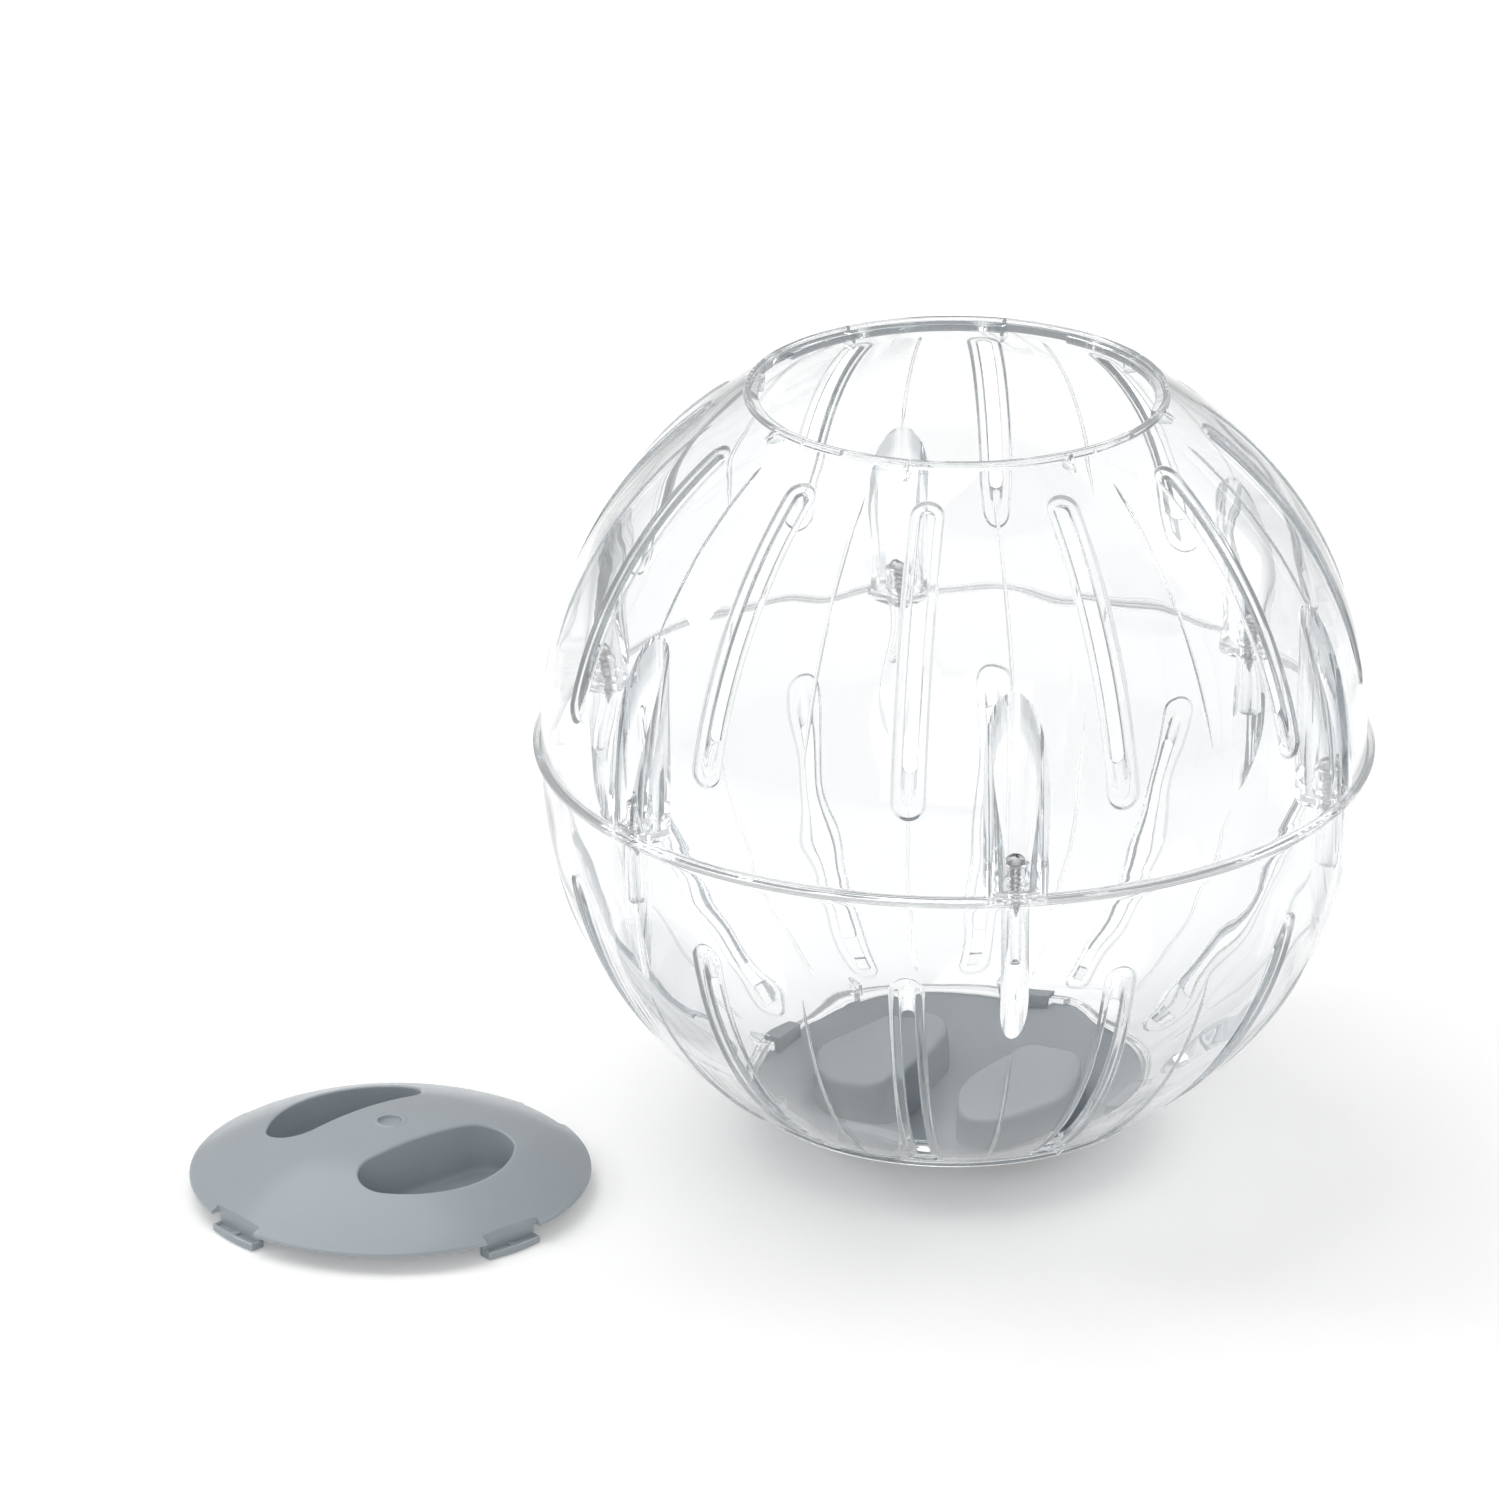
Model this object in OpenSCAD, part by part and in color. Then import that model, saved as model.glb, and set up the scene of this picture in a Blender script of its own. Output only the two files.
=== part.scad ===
// Hamster ball: a clear running ball of two screwed half shells with a twist-lock lid at each pole.
// Lengths are in millimetres and angles in degrees. +Z is up and the ball stands at the origin.

/* [Ball] */
// Outside diameter over the seam bead, the widest place of the ball
ball_d = 185; // [150:1:240]
// Wall thickness of the clear half shells
wall = 2; // [1.6:0.1:2.6]
// How far the seam bead stands out of the wall
bead_proud = 1.8; // [0.8:0.1:2.2]
// Height of the seam bead on each half shell
bead_h = 0.8; // [0.5:0.1:1.5]
// Straight band of each half shell beside the seam
skirt_h = 3; // [2.5:0.1:6]

/* [Air slots] */
// Number of air slots round each half shell
slot_count = 12; // [6:6:18]
// Width of a slot where it goes through the wall
slot_w = 3; // [2:0.1:4]
// Distance along the wall from the seam band to a slot's end
slot_start = 25.3; // [22:0.1:38]
// Distance along the wall from a slot's other end to the rim
slot_end = 11.1; // [10:0.1:24]
// Distance along the wall from the bar that ends a lower slot to the rim
bar_start = 15.8; // [14.5:0.1:23]
// Distance along the wall from the bar's far side to the rim
bar_end = 10.3; // [8.7:0.1:12.5]
// Distance along the wall from the short slit's end to the rim
slit_end = 6.3; // [4.7:0.1:7.1]
// Distance along the wall from the seam band to the blind tail's end
tail_start = 17.4; // [15:0.1:20.5]
// Depth of the blind tail below the outer surface
tail_depth = 1.3; // [0.8:0.1:1.5]
// Width of the shallow groove that frames a slot
groove_w = 7; // [6:0.1:9]
// Depth of the shallow groove
groove_depth = 0.6; // [0.3:0.1:0.7]
// Width of the groove's floor beyond the slot's two ends
groove_margin = 1.6; // [1:0.1:2]

/* [Ribs] */
// Width of the thin ribs that run between the slots
rib_w = 0.9; // [0.6:0.1:1.5]
// How far the ribs stand out of the wall
rib_proud = 0.5; // [0.3:0.1:1]
// Distance along the wall from the seam band to a rib between two screws
rib_start = 23.7; // [19:0.1:31.6]
// Distance along the wall from the ribs' ends to the rim
rib_end = 8.7; // [7.1:0.1:23]

/* [Mouths] */
// Outer radius of the rim round each mouth
rim_r = 46; // [42:0.5:50]
// Radial width of the rim
rim_w = 1.2; // [1:0.1:1.6]
// How far the rim stands above the wall
rim_proud = 1.2; // [1:0.1:1.5]
// Depth of the lid's seat below the rim's top
seat_depth = 1.1; // [0.9:0.1:1.3]
// Radial width of the lid's seat
seat_w = 1.8; // [1.6:0.1:2]
// Thickness of the flange that carries the seat
flange_t = 1.6; // [1.2:0.1:2.2]
// Width of the four gaps that let the lid's feet in
gap_w = 15; // [14.6:0.1:16]
// Azimuth of the first of the eight stop fins
fin_turn = -112; // [-115:0.5:-109]
// Thickness of a stop fin
fin_t = 0.9; // [0.7:0.1:1.2]
// How far a stop fin runs out on the wall beside the rim
fin_reach = 2.4; // [1.5:0.1:3]
// How far a stop fin hangs below the flange
fin_drop = 2.2; // [2:0.1:2.6]

/* [Lids] */
// Wall thickness of the lids
lid_t = 1.6; // [1.2:0.1:2]
// Width of a lid's legs and feet
foot_w = 14; // [12:0.1:14.2]
// Thickness of a foot
foot_t = 1.75; // [1.4:0.05:2]
// Thickness of a leg
leg_t = 1.4; // [1:0.1:1.8]
// Distance of a finger recess's straight side from the lid's centre
recess_near = 10; // [8:0.5:11]
// Distance of a finger recess's round side from the lid's centre
recess_far = 29; // [27:0.5:31]
// Radius of a finger recess's round side
recess_round_r = 24.5; // [23:0.5:27]
// Radius of a finger recess's corners
recess_corner_r = 6.5; // [5:0.5:7]
// Depth of the finger recesses below the dome at their middle
recess_depth = 11.2; // [8:0.1:11.5]
// Radius of the dimple on top of a lid
dimple_r = 2.6; // [2:0.1:4]
// Depth of the dimple
dimple_depth = 0.9; // [0.5:0.1:1]

/* [Screw joints] */
// Number of screws round the seam
screw_count = 6; // [3:3:6]
// Distance of a screw's axis inside the ball's outer surface
screw_inset = 4.7; // [4.5:0.1:5.1]
// Length of a screw below its head
screw_l = 12; // [10:0.5:14]
// Radius of a screw's head
head_r = 2.2; // [1.8:0.1:2.6]
// Height of a screw's head
head_h = 1.8; // [1.4:0.1:2.2]
// Radius of a screw's shank
shank_r = 1.3; // [1:0.05:1.5]
// Radius of the open pocket above each screw
pocket_r = 5.2; // [4.6:0.1:5.6]
// Height of the pocket's floor above the seam
pocket_floor = 1.8; // [1.8:0.1:3.4]
// Radius of the boss that carries the screw's head
boss_r = 3.15; // [3:0.05:3.6]
// Height of the boss above the seam
boss_h = 7.1; // [6:0.1:9]
// Radius of the post that takes the screw
post_r = 3; // [2.8:0.05:3.4]
// Depth of the screw's hole below the seam
pilot_depth = 15.5; // [8:0.5:20]

/* [Lid beside the ball] */
// Distance from the ball's side to the top lid's centre on the floor
lid_beside = 34.5; // [20:0.5:80]
// Place of the top lid towards the front
lid_y = -14.5; // [-40:0.5:40]
// Azimuth of the top lid's finger recess as it lies on the floor
lid_turn = -57.5; // [-90:0.5:90]
// How far the bottom lid is turned back from its stop
lock_play = 0.4; // [0.3:0.1:2]

/* [Hidden] */
$fn = 96;

// Colours
clear_plastic = [0.86, 0.91, 0.94, 0.4];
grey_plastic = [0.62, 0.66, 0.69];
steel = [0.75, 0.75, 0.77];

// Fits and small sizes
overrun = 1;
seat_gap = 0.1;
foot_gap = 0.2;
lid_gap = 0.5;
leg_gap = 1.2;
notch_gap = 0.5;
tongue_gap = 0.1;
bead_step = 0.4;
tongue_h = 1;
spigot_h = 2;
spigot_r = 2;
screw_gap = 0.05;
clear_gap = 0.2;
pocket_wall = 1.8;
dimple_rim_w = 0.8;
dimple_rim_proud = 0.15;
recess_wall = 1.5;
pad_depth = 0.5;
pad_edge = 0.8;
pad_rib_w = 1.2;
detent_r = 0.6;
detent_proud = 0.2;
corner_lap = 0.02;
cross_w = 0.7;
cross_l = 2.6;
cross_depth = 1;
tip_l = 1.6;

// Radii of the wall
shell_r = ball_d / 2 - bead_proud;
inner_r = shell_r - wall;
near_r = shell_r * 0.8;
far_r = shell_r * 1.2;
screw_circle_r = shell_r - screw_inset;
lid_x = -ball_d / 2 - lid_beside;

// Height above the seam of a sphere of radius r at the distance rho from the axis
function dome_z(r, rho) = skirt_h + sqrt(r * r - rho * rho);
// Angle that the length l spans at the radius r
function span_of(l, r) = 2 * asin(l / 2 / r);

// Angle of the arc l on the outer surface
function arc_of(l) = l / shell_r * 180 / PI;

// Latitudes on the outer surface
rim_at = acos(rim_r / shell_r);
slot_from = arc_of(slot_start);
slot_to = rim_at - arc_of(slot_end);
bar_from = rim_at - arc_of(bar_start);
bar_to = rim_at - arc_of(bar_end);
slit_to = rim_at - arc_of(slit_end);
tail_from = arc_of(tail_start);
rib_from = arc_of(rib_start);
rib_to = rim_at - arc_of(rib_end);

// Heights of the mouth above the seam
rim_in_r = rim_r - rim_w;
mouth_r = rim_in_r - seat_w;
rim_top = dome_z(shell_r, rim_r) + rim_proud;
seat_z = rim_top - seat_depth;
flange_z = seat_z - flange_t;
rim_foot = dome_z(inner_r, rim_r) + clear_gap;

// Lid, measured from the seam as if it sat on the upper mouth
lid_r = rim_in_r - lid_gap;
lid_edge_z = seat_z + seat_gap;
foot_top = flange_z - foot_gap;
foot_bottom = foot_top - foot_t;
leg_x = mouth_r - leg_gap;
leg_corner_r = norm([leg_x, foot_w / 2]);
leg_top = dome_z(shell_r, leg_corner_r) - lid_t / 4;
apex_z = skirt_h + shell_r;
recess_mid = (recess_near + recess_far) / 2;
recess_floor = dome_z(shell_r, recess_mid) - recess_depth;

// Stance: the rim of the bottom lid's dimple stands on the floor
seam_h = apex_z + dimple_rim_proud;

// Azimuths
slot_pitch = 360 / slot_count;
screw_pitch = 360 / screw_count;
fin_pitch = 45;
gap_pitch = 90;
gap_turn = fin_turn - span_of(fin_t, mouth_r) / 2 - span_of(gap_w, mouth_r) / 2;
stop_turn = fin_turn - fin_pitch + span_of(fin_t, lid_r) / 2;
lock_turn = stop_turn + lock_play + span_of(foot_w, lid_r) / 2;

// Wall of one half shell, with its seam band, bead, rim and flange, turned from one outline
module shell_wall() {
    rotate_extrude() {
        difference() {
            union() {
                intersection() {
                    translate([0, skirt_h]) circle(r = shell_r);
                    translate([rim_in_r, skirt_h]) square([shell_r, shell_r]);
                }
                square([shell_r, skirt_h]);
            }
            intersection() {
                translate([0, skirt_h]) circle(r = inner_r);
                translate([0, skirt_h]) square([shell_r, shell_r]);
            }
            translate([0, -overrun]) square([inner_r, skirt_h + overrun]);
        }
        translate([rim_in_r, rim_foot]) square([rim_w, rim_top - rim_foot]);
        translate([mouth_r, flange_z]) square([seat_w + rim_w / 2, flange_t]);
    }
}

// Bead that stands out at the seam
module seam_bead(proud, h) {
    rotate_extrude() translate([inner_r + wall / 2, 0]) square([wall / 2 + proud, h]);
}

// Half width slab along one meridian between two latitudes, from near_r to far_r
module meridian_slab(w, from, to) {
    translate([0, w / 2, skirt_h]) rotate([90, 0, 0]) linear_extrude(w)
        polygon([near_r * [cos(from), sin(from)], far_r * [cos(from), sin(from)],
                 far_r * [cos(to), sin(to)], near_r * [cos(to), sin(to)]]);
}

// Slab with round ends whose tips lie at the two latitudes; the end near the mouth can be square
module meridian_slot(w, from, to, square_end = false) {
    start = from + span_of(w, shell_r) / 2;
    end = to - span_of(w, shell_r) / 2;
    meridian_slab(w, start, square_end ? to : end);
    for (latitude = square_end ? [start] : [start, end])
        translate([0, 0, skirt_h]) rotate([0, 90 - latitude, 0])
            translate([0, 0, near_r]) cylinder(r = w / 2 + corner_lap, h = far_r - near_r);
}

// Copies of a shape at each slot
module at_slots() {
    for (i = [0 : slot_count - 1])
        rotate([0, 0, slot_pitch * (i + 0.5) - 90]) children();
}

// Copies of a shape at each screw
module at_screws() {
    for (i = [0 : screw_count - 1])
        rotate([0, 0, screw_pitch * i - 90]) children();
}

// Part of a cutter that reaches down to a depth below the outer surface
module above_depth(depth) {
    difference() {
        children();
        translate([0, 0, skirt_h]) sphere(r = shell_r - depth);
    }
}

// All air slots of a half shell with their grooves and blind tails; barred ones end in a bar and a slit
module air_slots(barred) {
    margin = span_of(groove_margin, shell_r);
    above_depth(groove_depth) at_slots()
        meridian_slot(groove_w, tail_from - margin, barred ? slit_to : slot_to + margin, barred);
    above_depth(tail_depth) at_slots()
        meridian_slot(slot_w, tail_from, (slot_from + slot_to) / 2);
    at_slots() {
        meridian_slot(slot_w, slot_from, barred ? bar_from : slot_to, barred);
        if (barred) meridian_slab(slot_w, bar_to, slit_to);
    }
}

// One raised rib along a meridian
module rib(from) {
    intersection() {
        meridian_slab(rib_w, from, rib_to);
        difference() {
            translate([0, 0, skirt_h]) sphere(r = shell_r + rib_proud);
            translate([0, 0, skirt_h]) sphere(r = shell_r - wall / 2);
        }
    }
}

// All ribs of a half shell; those over the screws start at screw_from
module ribs(screw_from) {
    for (i = [0 : slot_count - 1]) {
        over_screw = (i * screw_count) % slot_count == 0;
        rotate([0, 0, slot_pitch * i - 90]) rib(over_screw ? screw_from : rib_from);
    }
}

// Stop fin: a gusset outside the rim and a stop wall below the flange
module stop_fin() {
    tip_r = rim_r + fin_reach;
    wall_in_r = rim_r + rim_w;
    rotate([90, 0, 0]) translate([0, 0, -fin_t / 2]) linear_extrude(fin_t) {
        polygon([[rim_r - rim_w / 2, rim_top - rim_proud / 2], [rim_r, rim_top - rim_proud / 4],
                 [tip_r, dome_z(shell_r, tip_r)], [tip_r, dome_z(shell_r, tip_r) - wall / 2],
                 [rim_r - rim_w / 2, dome_z(shell_r, rim_r) - wall / 2]]);
        polygon([[mouth_r, flange_z + flange_t / 2], [mouth_r, flange_z - fin_drop],
                 [wall_in_r, flange_z - fin_drop], [wall_in_r, dome_z(inner_r, wall_in_r) + wall / 4],
                 [rim_in_r, flange_z + flange_t / 2]]);
    }
}

// Small bump on the flange's edge that clicks against a leg in the locked place
module detent() {
    translate([mouth_r + detent_r - detent_proud, 0, flange_z]) cylinder(r = detent_r, h = flange_t);
}

// Stop fins and detents round a mouth
module mouth_stops() {
    for (turn = [0 : fin_pitch : 360 - fin_pitch]) rotate([0, 0, fin_turn + turn]) stop_fin();
    for (turn = [0 : gap_pitch : 360 - gap_pitch]) rotate([0, 0, lock_turn + turn]) detent();
}

// Gaps in the flange that let the feet in
module mouth_gaps() {
    intersection() {
        translate([0, 0, flange_z - overrun]) cylinder(r = rim_in_r, h = flange_t + 2 * overrun);
        for (turn = [0 : gap_pitch : 360 - gap_pitch]) rotate([0, 0, gap_turn + turn])
            translate([leg_x - leg_t, -gap_w / 2, flange_z - 2 * overrun])
                cube([rim_r, gap_w, flange_t + 4 * overrun]);
    }
}

// Half shell common to both halves: wall, rim, ribs, slots and mouth
module half_shell(screw_from, barred) {
    difference() {
        union() {
            shell_wall();
            ribs(screw_from);
            mouth_stops();
        }
        air_slots(barred);
        mouth_gaps();
    }
}

// Latitude at which a vertical cylinder's inner side leaves the wall
function run_out(r) = acos((screw_circle_r - r) / shell_r);

// Upper half shell with its open screw pockets
module upper_shell_at_seam() {
    outer_pocket_r = pocket_r + pocket_wall;
    reach = dome_z(shell_r, screw_circle_r - outer_pocket_r);
    difference() {
        union() {
            half_shell(run_out(pocket_r) - span_of(rib_w, shell_r), false);
            seam_bead(bead_proud, bead_h);
            intersection() {
                at_screws() translate([screw_circle_r, 0, 0]) cylinder(r = outer_pocket_r, h = reach);
                union() {
                    translate([0, 0, skirt_h]) sphere(r = shell_r - groove_depth / 2);
                    cylinder(r = shell_r - groove_depth / 2, h = skirt_h);
                }
            }
        }
        difference() {
            at_screws() translate([screw_circle_r, 0, pocket_floor]) cylinder(r = pocket_r, h = reach);
            at_screws() translate([screw_circle_r, 0, 0]) cylinder(r = boss_r, h = boss_h);
        }
        at_screws() translate([screw_circle_r, 0, -overrun]) {
            cylinder(r = shank_r + clear_gap, h = boss_h + 2 * overrun);
            cylinder(r = spigot_r + tongue_gap, h = spigot_h + tongue_gap + overrun);
        }
        translate([0, 0, -overrun]) difference() {
            cylinder(r = inner_r + wall / 2 + tongue_gap, h = tongue_h + tongue_gap + overrun);
            translate([0, 0, -overrun]) cylinder(r = inner_r - tongue_gap, h = tongue_h + 4 * overrun);
        }
    }
}

// Lower half shell, drawn upside down: its posts, tongue and pilot holes
module lower_shell_flipped() {
    reach = dome_z(shell_r, screw_circle_r - post_r);
    difference() {
        union() {
            half_shell(run_out(post_r) - span_of(rib_w, shell_r), true);
            seam_bead(bead_proud - bead_step, bead_h - bead_step / 2);
            intersection() {
                at_screws() translate([screw_circle_r, 0, 0]) cylinder(r = post_r, h = reach);
                union() {
                    translate([0, 0, skirt_h]) sphere(r = shell_r - groove_depth / 2);
                    cylinder(r = shell_r - groove_depth / 2, h = skirt_h);
                }
            }
            at_screws() translate([screw_circle_r, 0, -spigot_h])
                cylinder(r = spigot_r, h = spigot_h + overrun);
            translate([0, 0, -tongue_h]) difference() {
                cylinder(r = inner_r + wall / 2, h = tongue_h + skirt_h / 2);
                translate([0, 0, -overrun]) cylinder(r = inner_r, h = tongue_h + skirt_h + overrun);
            }
        }
        at_screws() translate([screw_circle_r, 0, -spigot_h - overrun])
            cylinder(r = shank_r + screw_gap, h = pilot_depth + spigot_h + overrun);
    }
}

// Outline of a finger recess, grown by e: a straight near side, a round far side and round corners
module recess_outline(e) {
    round_x = recess_far - recess_round_r;
    corner_x = recess_near + recess_corner_r;
    corner_y = sqrt(pow(recess_round_r - recess_corner_r, 2) - pow(corner_x - round_x, 2));
    out = [corner_x - round_x, corner_y] / (recess_round_r - recess_corner_r) * far_r;
    for (side = [-1, 1]) translate([corner_x, side * corner_y]) circle(r = recess_corner_r + corner_lap + e);
    intersection() {
        translate([round_x, 0]) circle(r = recess_round_r + e);
        polygon([[recess_near - e, -corner_y], [corner_x, -corner_y], [round_x + out.x, -out.y],
                 [round_x + out.x, out.y], [corner_x, corner_y], [recess_near - e, corner_y]]);
    }
}

// Leg with its foot; the foot has two sunk pads with a rib between them
module leg_and_foot() {
    foot_in = leg_x - leg_t;
    pad_l = (foot_w - 2 * pad_edge - pad_rib_w) / 2;
    translate([foot_in, -foot_w / 2, foot_bottom]) cube([leg_t, foot_w, leg_top - foot_bottom]);
    difference() {
        intersection() {
            translate([0, 0, foot_bottom]) cylinder(r = lid_r, h = foot_t);
            translate([foot_in, -foot_w / 2, foot_bottom]) cube([lid_r, foot_w, foot_t]);
        }
        for (side = [-1, 1])
            translate([leg_x, side * (pad_rib_w + pad_l) / 2 - pad_l / 2, foot_top - pad_depth])
                cube([lid_r - pad_edge - leg_x, pad_l, pad_depth + overrun]);
    }
}

// Lid in its place on the upper mouth, with its finger recesses along X
module lid_at_mouth() {
    rim_out_r = dimple_r + dimple_rim_w;
    difference() {
        union() {
            rotate_extrude() difference() {
                intersection() {
                    translate([0, skirt_h]) circle(r = shell_r);
                    translate([0, lid_edge_z]) square([lid_r, shell_r]);
                }
                translate([0, skirt_h]) circle(r = shell_r - lid_t);
            }
            intersection() {
                for (side = [0, 180]) rotate([0, 0, side])
                    translate([0, 0, recess_floor - recess_wall])
                        linear_extrude(shell_r) recess_outline(recess_wall);
                translate([0, 0, skirt_h]) sphere(r = shell_r);
            }
            translate([0, 0, apex_z - lid_t / 2])
                cylinder(r = rim_out_r, h = lid_t / 2 + dimple_rim_proud);
        }
        for (side = [0, 180]) rotate([0, 0, side])
            translate([0, 0, recess_floor]) linear_extrude(shell_r) recess_outline(0);
        translate([0, 0, apex_z - dimple_depth]) cylinder(r = dimple_r, h = dimple_depth + overrun);
        for (turn = [0 : gap_pitch : 360 - gap_pitch]) rotate([0, 0, turn])
            translate([leg_x, -foot_w / 2 - notch_gap, lid_edge_z - overrun])
                cube([lid_r, foot_w + 2 * notch_gap, apex_z]);
    }
    for (turn = [0 : gap_pitch : 360 - gap_pitch]) rotate([0, 0, turn]) leg_and_foot();
}

// Screw standing on its boss, head up
module screw_at_origin() {
    head_round_r = (head_r * head_r + head_h * head_h) / (2 * head_h);
    difference() {
        union() {
            intersection() {
                translate([0, 0, boss_h]) cylinder(r = head_r, h = head_h);
                translate([0, 0, boss_h + head_h - head_round_r - head_h / 8]) sphere(r = head_round_r + head_h / 8);
            }
            translate([0, 0, boss_h - screw_l + tip_l]) cylinder(r = shank_r, h = screw_l - tip_l + head_h / 2);
            translate([0, 0, boss_h - screw_l]) cylinder(r1 = shank_r / 4, r2 = shank_r, h = tip_l);
        }
        for (turn = [0, 90]) rotate([0, 0, turn])
            translate([-cross_l / 2, -cross_w / 2, boss_h + head_h - cross_depth])
                cube([cross_l, cross_w, cross_depth + overrun]);
    }
}

module upper_shell() {
    color(clear_plastic) translate([0, 0, seam_h]) upper_shell_at_seam();
}

module lower_shell() {
    color(clear_plastic) translate([0, 0, seam_h]) rotate([180, 0, 0]) lower_shell_flipped();
}

module top_lid() {
    color(grey_plastic) translate([lid_x, lid_y, -foot_bottom]) rotate([0, 0, lid_turn]) lid_at_mouth();
}

module bottom_lid() {
    color(grey_plastic) translate([0, 0, seam_h]) rotate([180, 0, 0])
        rotate([0, 0, lock_turn]) lid_at_mouth();
}

module joint_screw(number) {
    color(steel) translate([0, 0, seam_h]) rotate([0, 0, screw_pitch * (number - 1) - 90])
        translate([screw_circle_r, 0, 0]) screw_at_origin();
}

upper_shell();
lower_shell();
top_lid();
bottom_lid();
joint_screw(1);  // joint_screw_1
joint_screw(2);  // joint_screw_2
joint_screw(3);  // joint_screw_3
joint_screw(4);  // joint_screw_4
joint_screw(5);  // joint_screw_5
joint_screw(6);  // joint_screw_6
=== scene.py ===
"""Clear running ball for hamsters with its two grey lids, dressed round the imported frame."""

import logging
import math
from dataclasses import dataclass
from enum import Enum
from typing import Iterable, Sequence

import bmesh
import bpy
import numpy as np
from mathutils import Matrix, Vector


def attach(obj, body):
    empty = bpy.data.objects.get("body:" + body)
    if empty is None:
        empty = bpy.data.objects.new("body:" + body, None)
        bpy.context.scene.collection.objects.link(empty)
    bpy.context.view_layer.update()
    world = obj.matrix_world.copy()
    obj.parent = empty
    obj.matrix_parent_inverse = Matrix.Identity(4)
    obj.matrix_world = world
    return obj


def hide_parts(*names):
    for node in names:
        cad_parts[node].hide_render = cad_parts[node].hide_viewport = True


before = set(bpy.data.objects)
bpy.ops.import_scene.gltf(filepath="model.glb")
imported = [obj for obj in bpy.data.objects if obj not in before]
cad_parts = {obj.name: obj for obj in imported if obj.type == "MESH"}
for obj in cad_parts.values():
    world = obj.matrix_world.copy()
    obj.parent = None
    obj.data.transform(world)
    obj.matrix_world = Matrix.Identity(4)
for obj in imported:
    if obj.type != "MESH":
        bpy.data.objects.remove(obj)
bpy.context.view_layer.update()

MM = 0.001
# Sizes and places that several pieces share, in millimetres and degrees
SEAM_HEIGHT = 93.85
LOCKED_TURN = -146.926
LOOSE_PLACE = (-127.0, -14.5, -57.5)

Loop = np.ndarray
Face = tuple[int, ...]
Colour = tuple[float, float, float]
WHITE = (1, 1, 1, 1)
log = logging.getLogger("hamster_ball")


class Cut(Enum):
    """Ways in which one closed form works on another."""

    JOIN = "UNION"
    REMOVE = "DIFFERENCE"
    KEEP_COMMON = "INTERSECT"


class Half(Enum):
    """The two half shells of the ball."""

    UPPER = "upper"
    LOWER = "lower"


@dataclass
class Form:
    """A closed form of points in millimetres and faces.

    Args:
        points: One row for each point.
        faces: The point numbers round each face.
    """

    points: np.ndarray
    faces: list[Face]

    @staticmethod
    def stacked(loops: Sequence[Loop], ladder: int | None = None) -> "Form":
        """Join loops of equal length into a closed form with a cap at each end.

        Args:
            loops: The loops in order from one cap to the other.
            ladder: For long bent loops, the point where the first side starts. The caps are then rungs
                between the loop's two sides, and not one flat face.

        Returns:
            The closed form.
        """
        n = len(loops[0])
        faces: list[Face] = []
        for k in range(len(loops) - 1):
            low, high = k * n, (k + 1) * n
            for i in range(n):
                j = (i + 1) % n
                faces.append((low + i, low + j, high + j, high + i))
        top = (len(loops) - 1) * n
        if ladder is None:
            faces.append(tuple(range(n - 1, -1, -1)))
            faces.append(tuple(top + i for i in range(n)))
        else:
            first = [(ladder + k) % n for k in range(n // 2)]
            second = [(ladder - 1 - k) % n for k in range(n // 2)]
            for k in range(n // 2 - 1):
                rung = (first[k], first[k + 1], second[k + 1], second[k])
                faces.append(rung[::-1])
                faces.append(tuple(top + i for i in rung))
        return Form(np.concatenate(loops), faces)

    @staticmethod
    def turned_profile(profile: np.ndarray, columns: int) -> "Form":
        """Turn a closed profile round the ball's axis.

        Args:
            profile: Rows of distance from the axis and height.
            columns: Number of steps in the full turn.

        Returns:
            The ring-shaped form.
        """
        n = len(profile)
        angles = np.arange(columns) * 2 * math.pi / columns
        points = [np.column_stack([profile[:, 0] * math.cos(a), profile[:, 0] * math.sin(a), profile[:, 1]])
                  for a in angles]
        faces: list[Face] = []
        for c in range(columns):
            d = (c + 1) % columns
            for i in range(n):
                j = (i + 1) % n
                faces.append((c * n + i, d * n + i, d * n + j, c * n + j))
        return Form(np.concatenate(points), faces)

    @staticmethod
    def column(x: float, outline: Iterable[tuple[float | np.ndarray, float]], sides: int = 48) -> "Form":
        """Make an upright round column.

        Args:
            x: Distance of its axis from the ball's axis.
            outline: Pairs of radius and height from one end to the other. A radius may differ by side.
            sides: Number of sides.

        Returns:
            The column.
        """
        a = np.arange(sides) * 2 * math.pi / sides
        return Form.stacked([np.column_stack([x + r * np.cos(a), r * np.sin(a), np.full(sides, z)])
                             for r, z in outline])

    def turned(self, degrees: float) -> "Form":
        """Turn this form about the ball's axis.

        Args:
            degrees: The turn.

        Returns:
            The turned form.
        """
        a = math.radians(degrees)
        turn = np.array([[math.cos(a), math.sin(a), 0], [-math.sin(a), math.cos(a), 0], [0, 0, 1]])
        return Form(self.points @ turn, self.faces)

    def repeated(self, start: float, count: int) -> "Form":
        """Return copies evenly spaced round the ball's axis, the first turned to an azimuth in degrees."""
        return Form.merged([self.turned(start + i * 360 / count) for i in range(count)])

    @staticmethod
    def merged(parts: Sequence["Form"]) -> "Form":
        """Gather separate forms.

        Args:
            parts: The forms.

        Returns:
            All of them as one form.
        """
        points, faces, base = [], [], 0
        for part in parts:
            points.append(part.points)
            faces += [tuple(i + base for i in face) for face in part.faces]
            base += len(part.points)
        return Form(np.concatenate(points), faces)


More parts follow.
